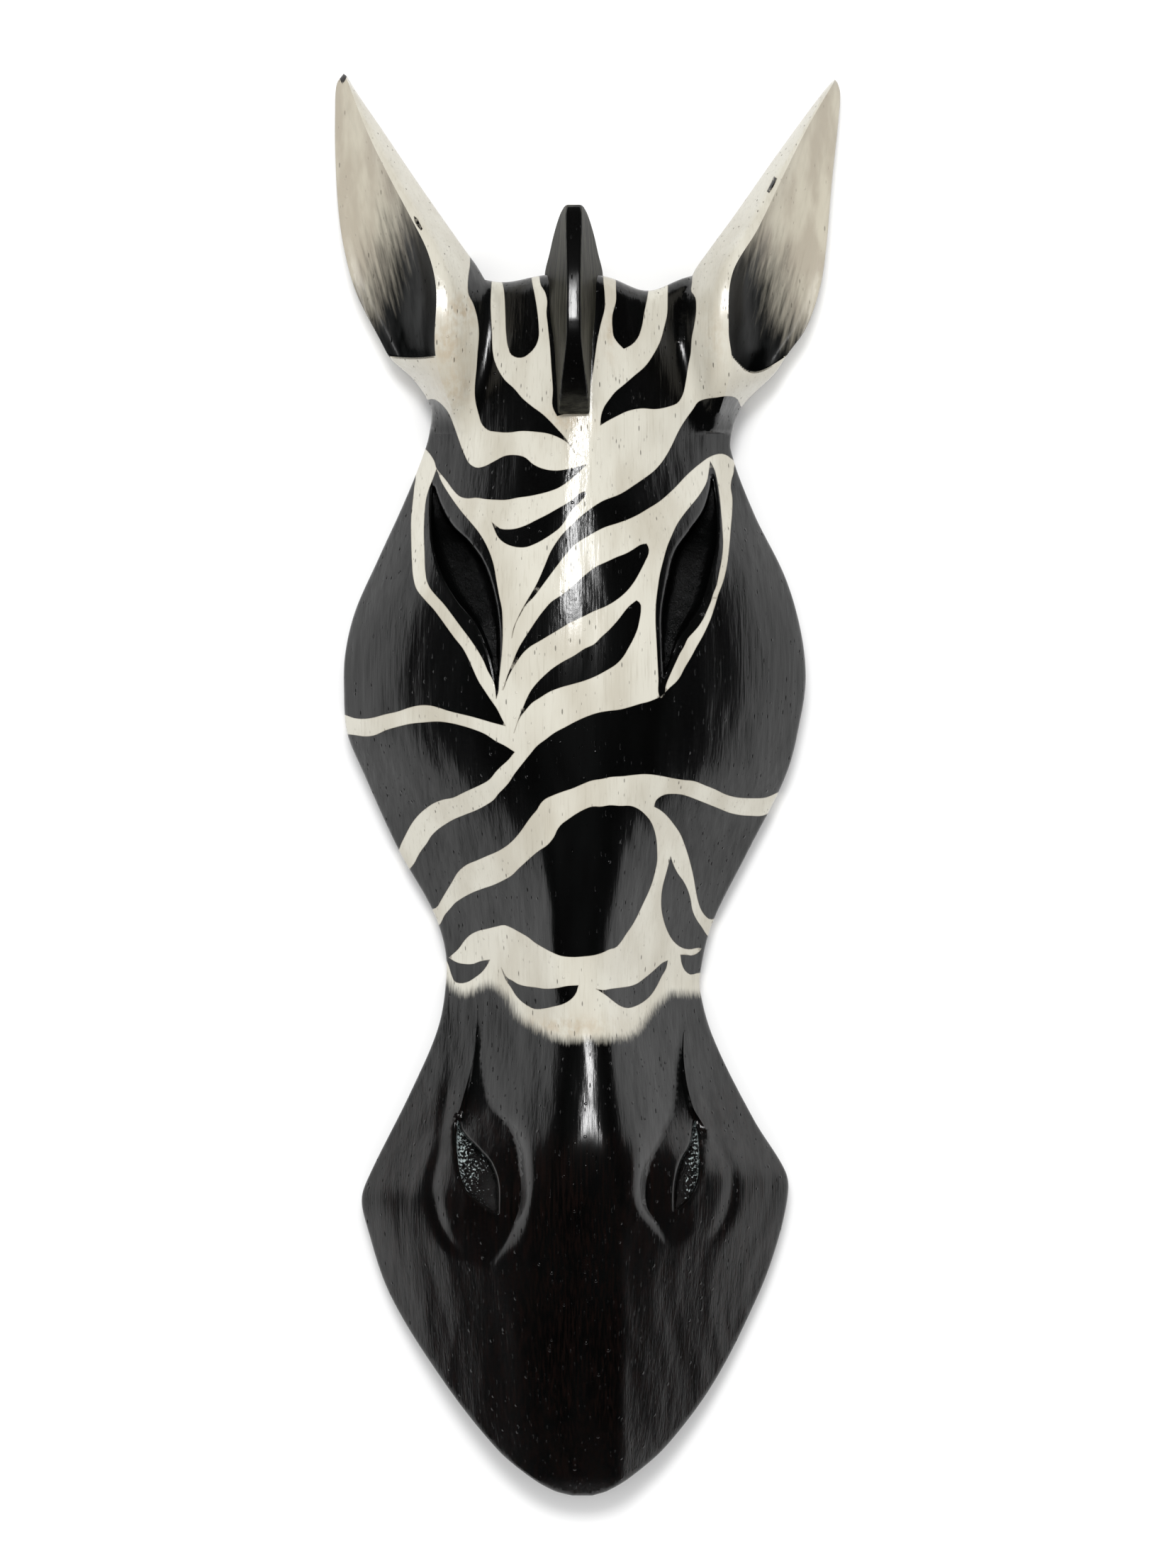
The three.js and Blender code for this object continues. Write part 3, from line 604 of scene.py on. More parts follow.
def distance_to_line(points, line, closed, reach):
    """Distance from each point to a line, up to reach."""
    start = line
    end = np.roll(line, -1, axis=0)
    if not closed:
        start = line[:-1]
        end = line[1:]
    found = np.full(len(points), reach)
    low = line.min(0) - reach
    high = line.max(0) + reach
    near = np.nonzero(np.all((points > low) & (points < high), axis=1))[0]
    along_it = end - start
    square = np.maximum((along_it**2).sum(1), 1e-12)
    for chunk in np.array_split(near, max(1, len(near) // 4000)):
        offset = points[chunk][:, None, :] - start[None]
        t = np.clip((offset * along_it).sum(2) / square, 0, 1)
        gap = offset - t[..., None] * along_it
        found[chunk] = np.minimum(found[chunk], np.sqrt((gap**2).sum(2).min(1)))
    return found


def inside(points, line):
    """Whether each point lies inside a closed line."""
    result = np.zeros(len(points), bool)
    low = line.min(0)
    high = line.max(0)
    near = np.nonzero(np.all((points > low) & (points < high), axis=1))[0]
    a = line
    b = np.roll(line, -1, axis=0)
    rise = b[:, 1] - a[:, 1]
    rise = np.where(np.abs(rise) < 1e-12, 1e-12, rise)
    for chunk in np.array_split(near, max(1, len(near) // 4000)):
        x = points[chunk, 0][:, None]
        y = points[chunk, 1][:, None]
        crosses = (a[:, 1] > y) != (b[:, 1] > y)
        at = a[:, 0] + (y - a[:, 1]) / rise * (b[:, 0] - a[:, 0])
        result[chunk] = (crosses & (x < at)).sum(1) % 2 == 1
    return result


# The carved surface


def top_drop(x):
    """How far the head's top edge dips at x."""
    return sum(drop * bump((x - place) / SCALLOP_WIDTH) for place, drop in TOP_SCALLOPS)


def section(across, y, side):
    """Height of the face's section at a share of the way from its middle to the rim, from 1 to 0."""
    roof = along(ROOF_SHARE, y, side)
    flat = along(RIDGE_FLAT, y, side)
    turn = along(RIDGE_TURN, y, side)
    turned = np.clip((across - flat) / turn, 0, 1)
    drop = turn * (turned**3 - turned**4 / 2) + np.maximum(0, across - flat - turn)
    full_drop = 1 - flat - turn / 2
    return 1 - (1 - roof) * across**2 - roof * drop / full_drop


def dish_depth(nostril, x, y):
    """Depth of the dish round a nostril, which falls from its inner edge to a crease and rises again."""
    dish = nostril["dish"]
    low = dish[0][0]
    high = dish[-1][0]
    inner = along(dish, y, 1)
    crease = along(dish, y, 2)
    outer = along(dish, y, 3)
    falling = np.maximum((x - inner) / (crease - inner), 0) ** DISH_CURVE
    rising = np.clip((x - outer) / (crease - outer), 0, 1)
    lip = DISH_LIP * smooth_step(DISH_LIP_START_Y - DISH_LIP_FADE, DISH_LIP_START_Y + DISH_LIP_FADE, y)
    rising = rising + lip * (1 - rising) * smooth_step(0, DISH_LIP_SHARE, rising)
    within = (y > low) & (y < high)
    return within * along(DISH_DEPTH, (y - low) / (high - low)) * np.minimum(falling, rising)


def groove_depth(nostril, x, y):
    """Depth of the groove beyond a nostril's outer lip."""
    away = (x - along(nostril["groove"], y, 1)) / GROOVE_WIDTH
    return np.maximum(0, along(nostril["groove"], y, 2)) * bump(away)


def carving(x, y):
    """Unevenness of the hand-cut faces: long shallow facets that run along the grain."""
    height = 0
    for width, length, depth, offset in FACETS:
        slant = np.sin(y / length + offset) + 0.5 * np.sin(2.7 * y / length + 2 * offset + x / 40)
        place = (x / width + FACET_SLANT * slant + offset) % 1
        height = height - depth * np.abs(2 * place - 1)
    return height


def lumps(x, y, depth, size):
    """Rough hollows and lumps of a given size, the same each time."""
    rng = np.random.default_rng(LUMP_SEED)
    height = 0
    for _ in range(LUMP_WAVES):
        angle = rng.uniform(0, math.pi)
        across = (x * math.cos(angle) + y * math.sin(angle)) / (size * rng.uniform(0.7, 1.5))
        height = height + np.sin(2 * math.pi * (across + rng.uniform(0, 1)))
    return depth * height / 3


def plain_head_height(x, y):
    """Height of the head before the recesses are cut, at rows that don't yet lean at the top."""
    above_chin = np.maximum(y, CHIN_START_Y)
    left = along(LEFT_SIDE, above_chin)
    right = along(RIGHT_SIDE, above_chin)
    middle = (left + right) / 2 + along(RIDGE_SHIFT, y)
    rim = np.where(x > middle, right, left)
    half = np.abs(rim - middle)
    aside = (x - middle) / (rim - middle)
    across = np.minimum(aside, 1)
    crown = along(RIDGE_HEIGHT, above_chin) - along(RIM_HEIGHT, above_chin)
    fallen = 1 - np.where(x > middle, section(across, y, 2), section(across, y, 1))
    height = along(RIDGE_HEIGHT, y) - crown * fallen
    for eye_x, eye_y in EYE_CENTRES:
        away = np.hypot((x - eye_x) / EYE_SOCKET["half_width"], (y - eye_y) / EYE_SOCKET["half_length"])
        height = height - EYE_SOCKET["depth"] * bump(away)
    for nostril in NOSTRILS:
        height = height - dish_depth(nostril, x, y) - groove_depth(nostril, x, y)
    over_top = np.clip(1 - (TOP_Y - y) / TOP_ROUND, 0, 1)
    height = height - TOP_ROUND * (1 - np.sqrt(1 - TOP_ROUND_SHARE * over_top**2))
    return height + carving(x, y) - np.maximum(aside - 1, 0) * half * PAST_SIDE_FALL


def head_height(x, y):
    """Height of the head, with its sections leaning back toward the scalloped top edge."""
    lean = top_drop(x) / (TOP_Y - DROP_START_Y)
    row = np.where(y > DROP_START_Y, (y - DROP_START_Y * lean) / (1 - lean), y)
    height = plain_head_height(x, np.minimum(row, TOP_Y))
    return height - np.maximum(row - TOP_Y - TOP_MARGIN, 0) * PAST_TOP_FALL


def hollow_start(ear, share):
    """Height up the face at which an ear's hollow begins, at a share of the way from ridge to outer edge."""
    return ear["hollow_start"] + ear["root_round"] * (2 * share - 1) ** 2


def ear_height(ear, x, y):
    """Height of an ear: from its ridge down to the outer edge, with the hollow, and to the inner edge."""
    outer = along(ear["outer"], y)
    inner = along(ear["inner"], y)
    ridge = along(ear["ridge"], y)
    top = along(EAR_RIDGE_HEIGHT, y)
    inner_top = along(EAR_INNER_HEIGHT, y)
    outer_top = along(EAR_OUTER_HEIGHT, y)
    to_outer = (x - ridge) / (outer - ridge)
    to_inner = (x - ridge) / (inner - ridge)
    out = np.clip(to_outer, 0, 1)
    back = np.clip(to_inner, 0, 1)
    swell = (top - inner_top) * SWELL_SHARE
    share = (y - ear["hollow_start"]) / (ear["hollow_end"] - ear["hollow_start"])
    hollowed = smooth_step(0, HOLLOW_STEP, y - hollow_start(ear, out) + HOLLOW_STEP)
    depth = along(HOLLOW_DEPTH, share) * np.clip(1 - share, 0, 1) * hollowed
    outside = top + (outer_top - top) * out + along(SWELL_OUTSIDE, out) * swell * (1 - hollowed)
    outside = outside - along(HOLLOW_SUNK, out) * depth
    within = top + (inner_top - top) * along(INSIDE_FALL, back) + along(SWELL_INSIDE, back) * swell
    height = np.where(to_outer > 0, outside, within) + EAR_CARVING * carving(x, y)
    past = np.maximum(to_outer - 1, 0) * np.abs(outer - ridge)
    past = past + np.maximum(to_inner - 1, 0) * np.abs(inner - ridge)
    past = past + np.maximum(ear["outer"][0][0] - y, 0)
    return height - past * PAST_SIDE_FALL


def recess_edge(recess, spacing):
    """The closed outline of an eye or nostril recess."""
    low = recess["inner"][0][0]
    high = recess["inner"][-1][0]
    angles = np.linspace(-math.pi / 2, math.pi / 2, 200)
    rows = (low + high) / 2 + (high - low) / 2 * np.sin(angles)
    up = np.column_stack([along(recess["inner"], rows), rows])
    down = np.column_stack([along(recess["outer"], rows), rows])[::-1]
    return np.concatenate([spaced(up, spacing)[:-1], spaced(down, spacing)[:-1]])


def recess_floor(recess, depth, x, y):
    """Height of a recess's floor, which is level across, turns up to its walls and rises at both tips."""
    low = recess["inner"][0][0]
    high = recess["inner"][-1][0]
    sine = np.clip((y - (low + high) / 2) / ((high - low) / 2), -1, 1)
    sink = depth * (1 - sine**2) ** FLOOR_CURVE + LEAST_SINK
    a = along(recess["inner"], y)
    b = along(recess["outer"], y)
    width = np.where(np.abs(b - a) < 0.05, 0.05, b - a)
    share = np.clip((x - a) / width, 0, 1)
    to_wall = np.minimum(share, 1 - share) / FILLET_SHARE
    rise = np.maximum(1 - to_wall, 0) ** 2
    return head_height((a + b) / 2, y) - sink + FILLET_RISE * sink * rise


def surface(points):
    """Height of the whole carved front at points on the face."""
    x = points[:, 0]
    y = points[:, 1]
    height = head_height(x, y)
    for ear in EARS:
        chosen = (y > ear["outer"][0][0] - 3) & (x * ear["side"] > 20)
        head = height[chosen]
        rising = ear_height(ear, x[chosen], y[chosen])
        plain = np.maximum(head, rising)
        fade = smooth_step(TOP_Y, TOP_Y - EAR_BLEND_FADE, y[chosen])
        height[chosen] = plain + (smooth_max(head, rising, EAR_BLEND) - plain) * fade
    for recess, depth, rough in RECESSES:
        edge = recess_edge(recess, 1.0)
        gap = distance_to_line(points, edge, True, 3.0)
        within = inside(points, edge)
        rim = (~within) & (gap < RIM_ROUND)
        height[rim] -= RIM_FALL * (1 - gap[rim] / RIM_ROUND) ** 2
        sunk = np.clip(gap / RECESS_WALL, 0, 1) * within
        floor = recess_floor(recess, depth, x, y) + lumps(x, y, *rough)
        height = np.where(within, (height - RIM_FALL) * (1 - sunk) + floor * sunk, height)
    return height


# Outline of the mask seen from the front


def edge_rows(low, high):
    """Close rows up the face, for an outline that is spaced out later."""
    return np.linspace(low, high, 1500)


def side_line(side):
    """From the chin to the ear's tip: the head's side, then the ear's outer edge."""
    ear = next(e for e in EARS if e["side"] == side)
    head = LEFT_SIDE if side < 0 else RIGHT_SIDE
    rows = edge_rows(head[0][0], ear["outer"][-1][0])
    width = side * along(head, np.minimum(rows, TOP_Y))
    flare = side * along(ear["outer"], rows)
    from_ear = rows > ear["outer"][0][0]
    joined = smooth_max(width, flare, 1.0)
    reach = np.where(from_ear, np.where(rows > EAR_ROOT_Y, flare, joined), width)
    return np.column_stack([side * reach, rows])


def inner_line(side):
    """From the ear's tip down its inner edge to the top of the head."""
    ear = next(e for e in EARS if e["side"] == side)
    rows = edge_rows(ear["inner"][-1][0], TOP_Y - 6)
    x = along(ear["inner"], rows)
    above = rows > TOP_Y - top_drop(x)
    return np.column_stack([x, rows])[above]


def outline():
    """The closed outline, counterclockwise from the chin, as separate smooth stretches."""
    right_up = side_line(1)
    right_down = inner_line(1)
    left_up = inner_line(-1)[::-1]
    left_down = side_line(-1)[::-1]
    top_x = np.linspace(right_down[-1, 0], left_up[0, 0], 600)
    top = np.column_stack([top_x, TOP_Y - top_drop(top_x)])
    stretches = [right_up, right_down, top, left_up, left_down, np.array([left_down[-1], right_up[0]])]
    pieces = [spaced(s, OUTLINE_SPACING)[:-1] for s in stretches]
    for i in range(1, len(pieces)):
        gap = np.hypot(*(pieces[i][0] - pieces[i - 1][-1]))
        if gap < OUTLINE_SPACING * 0.3:
            pieces[i] = pieces[i][1:]
    return np.concatenate(pieces)


def shifted(line, distance):
    """A closed line moved inward (counterclockwise lines) by a distance."""
    ahead = np.roll(line, -1, axis=0) - np.roll(line, 1, axis=0)
    ahead /= np.maximum(np.hypot(*ahead.T), 1e-9)[:, None]
    return line + distance * np.column_stack([-ahead[:, 1], ahead[:, 0]])


# Triangulation


def triangulate(points, constraints, edge):
    """Constrained Delaunay triangles inside an outline, and the input points of each output point."""
    places = [Vector((float(x), float(y))) for x, y in points]
    vertices, _, faces, origins, _, _ = delaunay_2d_cdt(places, constraints, [], 0, 1e-5, True)
    flat = np.array([tuple(v) for v in vertices])
    kept = inside(flat[np.array(faces)].mean(1), edge)
    return flat, [face for face, keep in zip(faces, kept) if keep], origins


def loop_edges(first, count):
    """The edges of a closed loop of numbered points."""
    return [(first + i, first + (i + 1) % count) for i in range(count)]


def grid_points(low, high, spacing):
    """Points in even triangles over a box."""
    rows = np.arange(low[1], high[1], spacing * math.sqrt(3) / 2)
    points = []
    for i, y in enumerate(rows):
        xs = np.arange(low[0] + (i % 2) * spacing / 2, high[0], spacing)
        points.append(np.column_stack([xs, np.full(len(xs), y)]))
    return np.concatenate(points)


def clear_of(points, features, gap):
    """The points that lie further than gap from every feature point."""
    tree = KDTree(len(features))
    for i, (x, y) in enumerate(features):
        tree.insert((x, y, 0), i)
    tree.balance()
    keep = [tree.find((x, y, 0))[2] > gap for x, y in points]
    return points[np.array(keep)]


def ear_lines(ear):
    """The ridge and the hollow's lower end."""
    ridge_rows = np.linspace(ear["outer"][0][0] + 8, ear["outer"][-1][0] - 1.5, 400)
    ridge = np.column_stack([along(ear["ridge"], ridge_rows), ridge_rows])
    share = np.linspace(0.0, 0.995, 120)
    start = hollow_start(ear, share)
    a = along(ear["ridge"], start)
    b = along(ear["outer"], start)
    return ridge, np.column_stack([a + (b - a) * share, start])


def dish_lines(nostril):
    """The dish's crease, its outer edge and the foot of the lip there."""
    dish = nostril["dish"]
    rows = np.linspace(dish[0][0] + 2, dish[-1][0] - 1, 300)
    crease = np.column_stack([along(dish, rows, 2), rows])
    outer = np.column_stack([along(dish, rows, 3), rows])[rows > DISH_LIP_START_Y - 6]
    foot = outer.copy()
    foot[:, 0] += DISH_LIP_SHARE * (along(dish, outer[:, 1], 2) - outer[:, 0])
    apart = distance_to_line(outer, crease, False, 3.0) > 1.2
    return crease, outer[apart], foot[apart]


def sharp_lines(edge, stripes):
    """The lines that the front's triangles follow, each with whether it is closed."""
    lines = [(edge, True)]
    for stripe in stripes.values():
        lines += [(run, False) for run in runs_inside(stripe, edge)]
    for ear in EARS:
        ridge, start = ear_lines(ear)
        lines += [(spaced(ridge, OUTLINE_SPACING), False), (spaced(start, LINE_SPACING), False)]
    for recess, _, _ in RECESSES:
        lines.append((recess_edge(recess, LINE_SPACING), True))
    return lines


def guide_lines(edge):
    """Lines whose points keep the rounded edges, the recesses' walls and the dishes even."""
    lines = [shifted(edge, distance) for distance in (0.2, EDGE_ROUND)]
    for recess, _, _ in RECESSES:
        line = recess_edge(recess, LINE_SPACING)
        lines += [shifted(line, distance) for distance in BESIDE_RECESS]
    for ear in EARS:
        _, start = ear_lines(ear)
        lines += [spaced(start, LINE_SPACING) - (0, step) for step in (HOLLOW_STEP / 2, HOLLOW_STEP)]
    for nostril in NOSTRILS:
        lines += [spaced(line, DISH_SPACING) for line in dish_lines(nostril)]
    return lines


def front_mesh(stripes):
    """The front as seen from ahead: its points, its triangles and the mask's outline."""
    edge = outline()
    lines = sharp_lines(edge, stripes)
    constraints = []
    count = 0
    for line, closed in lines:
        pairs = loop_edges(count, len(line))
        constraints += pairs if closed else pairs[:-1]
        count += len(line)
    sharp = np.concatenate([line for line, _ in lines])
    guides = clear_of(np.concatenate(guide_lines(edge)), sharp, GUIDE_GAP)
    grid = grid_points(edge.min(0), edge.max(0), FRONT_SPACING)
    grid = clear_of(grid[inside(grid, edge)], np.concatenate([sharp, guides]), FEATURE_GAP)
    points = np.concatenate([sharp, guides[inside(guides, edge)], grid])
    flat, faces, _ = triangulate(points, constraints, edge)
    return flat, faces, edge


def runs_inside(line, edge):
    """The stretches of a closed line that lie inside the mask's outline."""
    within = inside(line, edge)
    if within.all():
        return [np.concatenate([line, line[:1]])]
    first = int(np.nonzero(~within)[0][0])
    line = np.roll(line, -first, axis=0)
    within = np.roll(within, -first)
    runs = []
    current = []
    for i, point in enumerate(line):
        if within[i]:
            if not current:
                current.append(line[i - 1])
            current.append(point)
        elif current:
            current.append(point)
            runs.append(np.array(current))
            current = []
    if current:
        current.append(line[0])
        runs.append(np.array(current))
    return [clipped(run, edge) for run in runs]


def clipped(run, edge):
    """A run whose ends are drawn back to the mask's outline."""
    run = run.copy()
    for end, neighbour in ((0, 1), (-1, -2)):
        outside = run[end].copy()
        within = run[neighbour].copy()
        for _ in range(30):
            middle = (outside + within) / 2
            if inside(middle[None], edge)[0]:
                within = middle
            else:
                outside = middle
        run[end] = within + (outside - run[neighbour]) * 0.05
    return run


# Paint


def stripe_lines():
    """The closed outline of every stripe and chip, in millimetres on the face."""
    lines = {name: rounded_line(on_face(points), True, 1.2) for name, points in STRIPES.items()}
    chips = {name: rounded_line(on_face(points), True, 0.5) for name, points in CHIPS.items()}
    return {**lines, **chips}


def paint_distance(points, stripes):
    """Distance from each point to the nearest edge of black paint."""
    found = np.full(len(points), PAINT_REACH)
    for line in stripes.values():
        found = np.minimum(found, distance_to_line(points, line, True, PAINT_REACH))
    return found


def is_black(points, stripes):
    """Whether each point lies in a stripe or chip."""
    black = np.zeros(len(points), bool)
    for line in stripes.values():
        black |= inside(points, line)
    return black


def muzzle_distance(points):
    """Distance below the soft upper edge of the black muzzle, negative above it."""
    top = rounded_line(on_face(MUZZLE_TOP), False, 1.5)
    area = np.concatenate([top, on_face(MUZZLE_REST)])
    gap = distance_to_line(points, top, False, MUZZLE_REACH)
    return np.where(inside(points, area), gap, -gap)


def ear_shade(points):
    """Distance past the line in each ear's hollow where beige has faded halfway to black."""
    found = np.zeros(len(points))
    for side, pixels in EAR_SHADE_LINES.items():
        line = rounded_line(on_face(pixels), False, 2.0)
        area = np.concatenate([line, on_face(EAR_DARK_SIDE[side])])
        chosen = points[:, 0] * side > 0
        gap = distance_to_line(points[chosen], line, False, SHADE_REACH)
        found[chosen] = np.where(inside(points[chosen], area), gap, -gap)
    return found


def soft_spots(points, spots):
    """Strength at each point of the strongest of some soft round spots."""
    found = np.zeros(len(points))
    for x, y, half_width, half_height, strength in spots:
        away = (points - on_face([(x, y)])) * PIXELS_PER_MM / (half_width, half_height)
        found = np.maximum(found, strength * bump(np.hypot(*away.T)))
    return found


def recess_roughness(points):
    """Near 1 on a nostril's floor, most at its outer upper part, less on an eye's and 0 elsewhere. It sets
    the floor's roughness and how thick the painted glints lie on it.
    """
    found = np.zeros(len(points))
    for eye in EYES:
        found[inside(points, recess_edge(eye, 1.0))] = EYE_ROUGHNESS
    for nostril in NOSTRILS:
        within = inside(points, recess_edge(nostril, 1.0))
        x, y = points[within].T
        low = nostril["inner"][0][0]
        high = nostril["inner"][-1][0]
        outer = along(nostril["outer"], y)
        inward = np.abs(x - outer) / np.maximum(np.abs(along(nostril["inner"], y) - outer), 0.5)
        found[within] = 1 - LOSS_DOWN * (high - y) / (high - low) - LOSS_INWARD * np.minimum(inward, 1)
    return found


def in_hollow(points):
    """Whether each point lies in the hollow of an ear."""
    found = np.zeros(len(points), bool)
    x = points[:, 0]
    y = points[:, 1]
    for ear in EARS:
        ridge = along(ear["ridge"], y)
        share = (x - ridge) / (along(ear["outer"], y) - ridge)
        above = y > hollow_start(ear, np.clip(share, 0, 1)) - HOLLOW_STEP * 0.6
        found |= (x * ear["side"] > 0) & (share > 0) & above & (y > EAR_ROOT_Y)
    return found


# The closed mesh


def boundary_loop(faces):
    """Indices of the boundary of an open triangle mesh, in the order of its faces."""
    following = {}
    edges = set()
    for a, b, c in faces:
        edges.update(((a, b), (b, c), (c, a)))
    for a, b in edges:
        if (b, a) not in edges:
            following[a] = b
    start = next(iter(following))
    loop = [start]
    while following[loop[-1]] != start:
        loop.append(following[loop[-1]])
    return loop


def trough_half(y):
    """Middle and half width of the trough at y, and how far it has faded toward its ends."""
    left = along(LEFT_SIDE, y) + TROUGH_WALL
    right = along(RIGHT_SIDE, y) - TROUGH_WALL
    to_end = np.minimum(y - TROUGH_LOW_Y, TROUGH_HIGH_Y - y)
    fade = np.sqrt(np.clip((to_end + 1.5) / TROUGH_END, 0.05, 1))
    return (left + right) / 2, (right - left) / 2 * fade, fade


def trough_height(x, y):
    """Height of the back's trough above the flat back, 0 outside it."""
    middle, half, fade = trough_half(y)
    sine = np.clip((x - middle) / half, -1, 1)
    within = (y > TROUGH_LOW_Y) & (y < TROUGH_HIGH_Y) & (np.abs(x - middle) < half)
    return np.where(within, (1 - sine**2) ** TROUGH_CURVE * TROUGH_HEIGHT * fade, 0)


def back_mesh(loop_points):
    """The back and its trough: points, heights and triangles. The first points are the boundary's."""
    rows = np.linspace(TROUGH_LOW_Y, TROUGH_HIGH_Y, TROUGH_ROWS)
    middle, half, _ = trough_half(rows)
    right = np.column_stack([middle + half, rows])
    left = np.column_stack([middle - half, rows])
    rim = np.concatenate([right, left[::-1]])
    columns = np.sin(np.linspace(-0.5, 0.5, TROUGH_COLUMNS)[1:-1] * math.pi)
    inner = [np.column_stack([middle[1:-1] + half[1:-1] * c, rows[1:-1]]) for c in columns]
    grid = grid_points(loop_points.min(0), loop_points.max(0), BACK_SPACING)
    grid = grid[inside(grid, loop_points)]
    anchors = np.concatenate([loop_points, rim])
    grid = clear_of(grid[~inside(grid, rim)], anchors, BACK_SPACING * 0.5)
    within = np.concatenate([*inner, shifted(rim, 0.5)])
    within = clear_of(within[inside(within, rim)], rim, 0.3)
    points = np.concatenate([anchors, within, grid])
    constraints = loop_edges(0, len(loop_points)) + loop_edges(len(loop_points), len(rim))
    found, faces, origins = triangulate(points, constraints, loop_points)
    on_rim = distance_to_line(found, rim, True, 1.0) < 0.02
    heights = np.where(on_rim, 0, trough_height(found[:, 0], found[:, 1]))
    return found, heights, faces, origins


def edge_rounding(points, edge):
    """How far the front falls away close to the outline, as a quarter circle."""
    gap = distance_to_line(points, edge, True, 1.0)
    within = np.minimum(gap, EDGE_ROUND)
    return EDGE_ROUND - np.sqrt(EDGE_ROUND**2 - (EDGE_ROUND - within) ** 2)


def side_rings(flat, height, loop):
    """Rings of points from the front's boundary down the side to the flat back."""
    rim = np.column_stack([flat[loop], height[loop]])
    on_top = smooth_step(*LEAN_ACROSS[::-1], np.abs(rim[:, 0])) * (rim[:, 1] > TOP_Y - LEAN_REACH)
    inward = shifted(rim[:, :2], BOTTOM_BEVEL) - rim[:, :2]
    rings = []
    for share, bevel in SIDE_RINGS:
        place = rim[:, :2] + inward * bevel
        place[:, 1] -= TOP_BACK_DROP * on_top * (1 - share)
        rings.append(np.column_stack([place, rim[:, 2] * share]))
    return rings


def side_walls(rings):
    """Triangles between rings of vertices, two to each step round a ring."""
    walls = []
    for upper, lower in zip(rings, rings[1:]):
        for i in range(len(upper)):
            j = (i + 1) % len(upper)
            walls += [(upper[i], lower[i], lower[j]), (upper[i], lower[j], upper[j])]
    return walls


def closed_back(bottom, ring, first):
    """The back's own vertices, numbered from first, and its triangles, which share the bottom ring."""
    found, heights, faces, origins = back_mesh(bottom)
    place_of = {}
    own = []
    for i, came_from in enumerate(origins):
        shared = [k for k in came_from if k < len(bottom)]
        if shared:
            place_of[i] = int(ring[shared[0]])
        else:
            place_of[i] = first + len(own)
            own.append((*found[i], heights[i]))
    return np.array(own), [tuple(place_of[i] for i in reversed(face)) for face in faces]


def head_and_ears(stripes):
    """Vertices, the front point each one carries on, the front's points, and three lots of triangles."""
    flat, faces, edge = front_mesh(stripes)
    height = surface(flat) - edge_rounding(flat, edge)
    used, front = np.unique(np.array(faces), return_inverse=True)
    front = [tuple(face) for face in front.reshape(-1, 3).tolist()]
    flat = flat[used]
    height = height[used]
    loop = np.array(boundary_loop(front))
    places = side_rings(flat, height, loop)
    rings = [loop] + [len(flat) + len(loop) * k + np.arange(len(loop)) for k in range(len(places))]
    first = len(flat) + len(loop) * len(places)
    own, back = closed_back(places[-1][:, :2], rings[-1], first)
    vertices = np.concatenate([np.column_stack([flat, height]), *places, own])
    sources = np.concatenate([np.arange(len(flat)), np.tile(loop, len(places)), np.zeros(len(own), int)])
    return vertices, sources, flat, front, side_walls(rings), back


def crest_rows():
    """Places up the crest and how far its section is drawn in there, for rounded ends."""
    low = CREST[0][0]
    high = CREST[-1][0]
    turn = np.linspace(0, math.pi / 2, TURN_STEPS)
    drawn_in = CREST_ROUND * (1 - np.sin(turn))
    from_end = CREST_ROUND * (1 - np.cos(turn))
    straight = np.linspace(low + CREST_ROUND, high - CREST_ROUND, CREST_ROWS)[1:-1]
    foot = list(zip(low + from_end, drawn_in))
    tip = list(zip(high - from_end, drawn_in))[::-1]
    return foot + [(y, 0.0) for y in straight] + tip


def crest_mesh():
    """The mane crest, a closed wedge with rounded edges."""
    rows = crest_rows()
    vertices = []
    count = 0
    for y, inset in rows:
        front, front_width, back, back_width = (float(along(CREST, y, column)) for column in (1, 2, 3, 4))
        front = min(front, CREST_TOP) - inset
        ring = crest_section(front, front_width / 2 - inset * 0.8, back, back_width / 2 - inset)
        count = len(ring)
        vertices += [(CREST_X + x, y, z) for x, z in ring]
    faces = []
    for i in range(len(rows) - 1):
        a = i * count
        b = a + count
        for j in range(count):
            k = (j + 1) % count
            faces += [(a + j, a + k, b + k), (a + j, b + k, b + j)]
    last = (len(rows) - 1) * count
    for j in range(1, count - 1):
        faces.append((j + 1, j, 0))
        faces.append((last, last + j, last + j + 1))
    return np.array(vertices), faces


def crest_section(front, half_front, back, half_back):
    """One section across the crest, from its back left corner over the front to its back right."""
    half = []
    for t in np.linspace(0, 1, CREST_COLUMNS):
        half.append((-half_back + (half_back - half_front) * t, back + (front - CREST_ROUND - back) * t))
    for angle in np.linspace(0.25, math.pi / 2, TURN_STEPS):
        drop = CREST_ROUND * (1 - math.sin(angle))
        half.append((-half_front + CREST_ROUND * (1 - math.cos(angle)), front - drop))
    return half + [(-x, z) for x, z in reversed(half)]


def placed(vertices, shift):
    """Points on the face and their heights, as places in the frame in metres."""
    share = 1 - DRAW_IN * vertices[:, 2]
    flat = vertices[:, :2] * share[:, None] - shift
    return np.column_stack([flat, vertices[:, 2]]) * MM


def write_paint(mesh, flat, front_of):
    """Values that the paint reads at each vertex, taken from the front point that it carries on."""
    values = {
        "muzzle": muzzle_distance(flat),
        "ear_shade": ear_shade(flat),
        "across_ear": flat[:, 0] - np.sign(flat[:, 0]) * EAR_SLANT * flat[:, 1],
        # The floors' roughness also places the painted glints.
        "floor_roughness_and_glints": recess_roughness(flat),
        "lumpy_paint": soft_spots(flat, LUMPY_PAINT),
        # The stains include painted shade where the ears and crest meet the head.
        "stain_and_shade": soft_spots(flat, STAINS_AND_SHADE),
    }
    for name, value in values.items():
        write_attribute(mesh, name, "POINT", value[front_of])


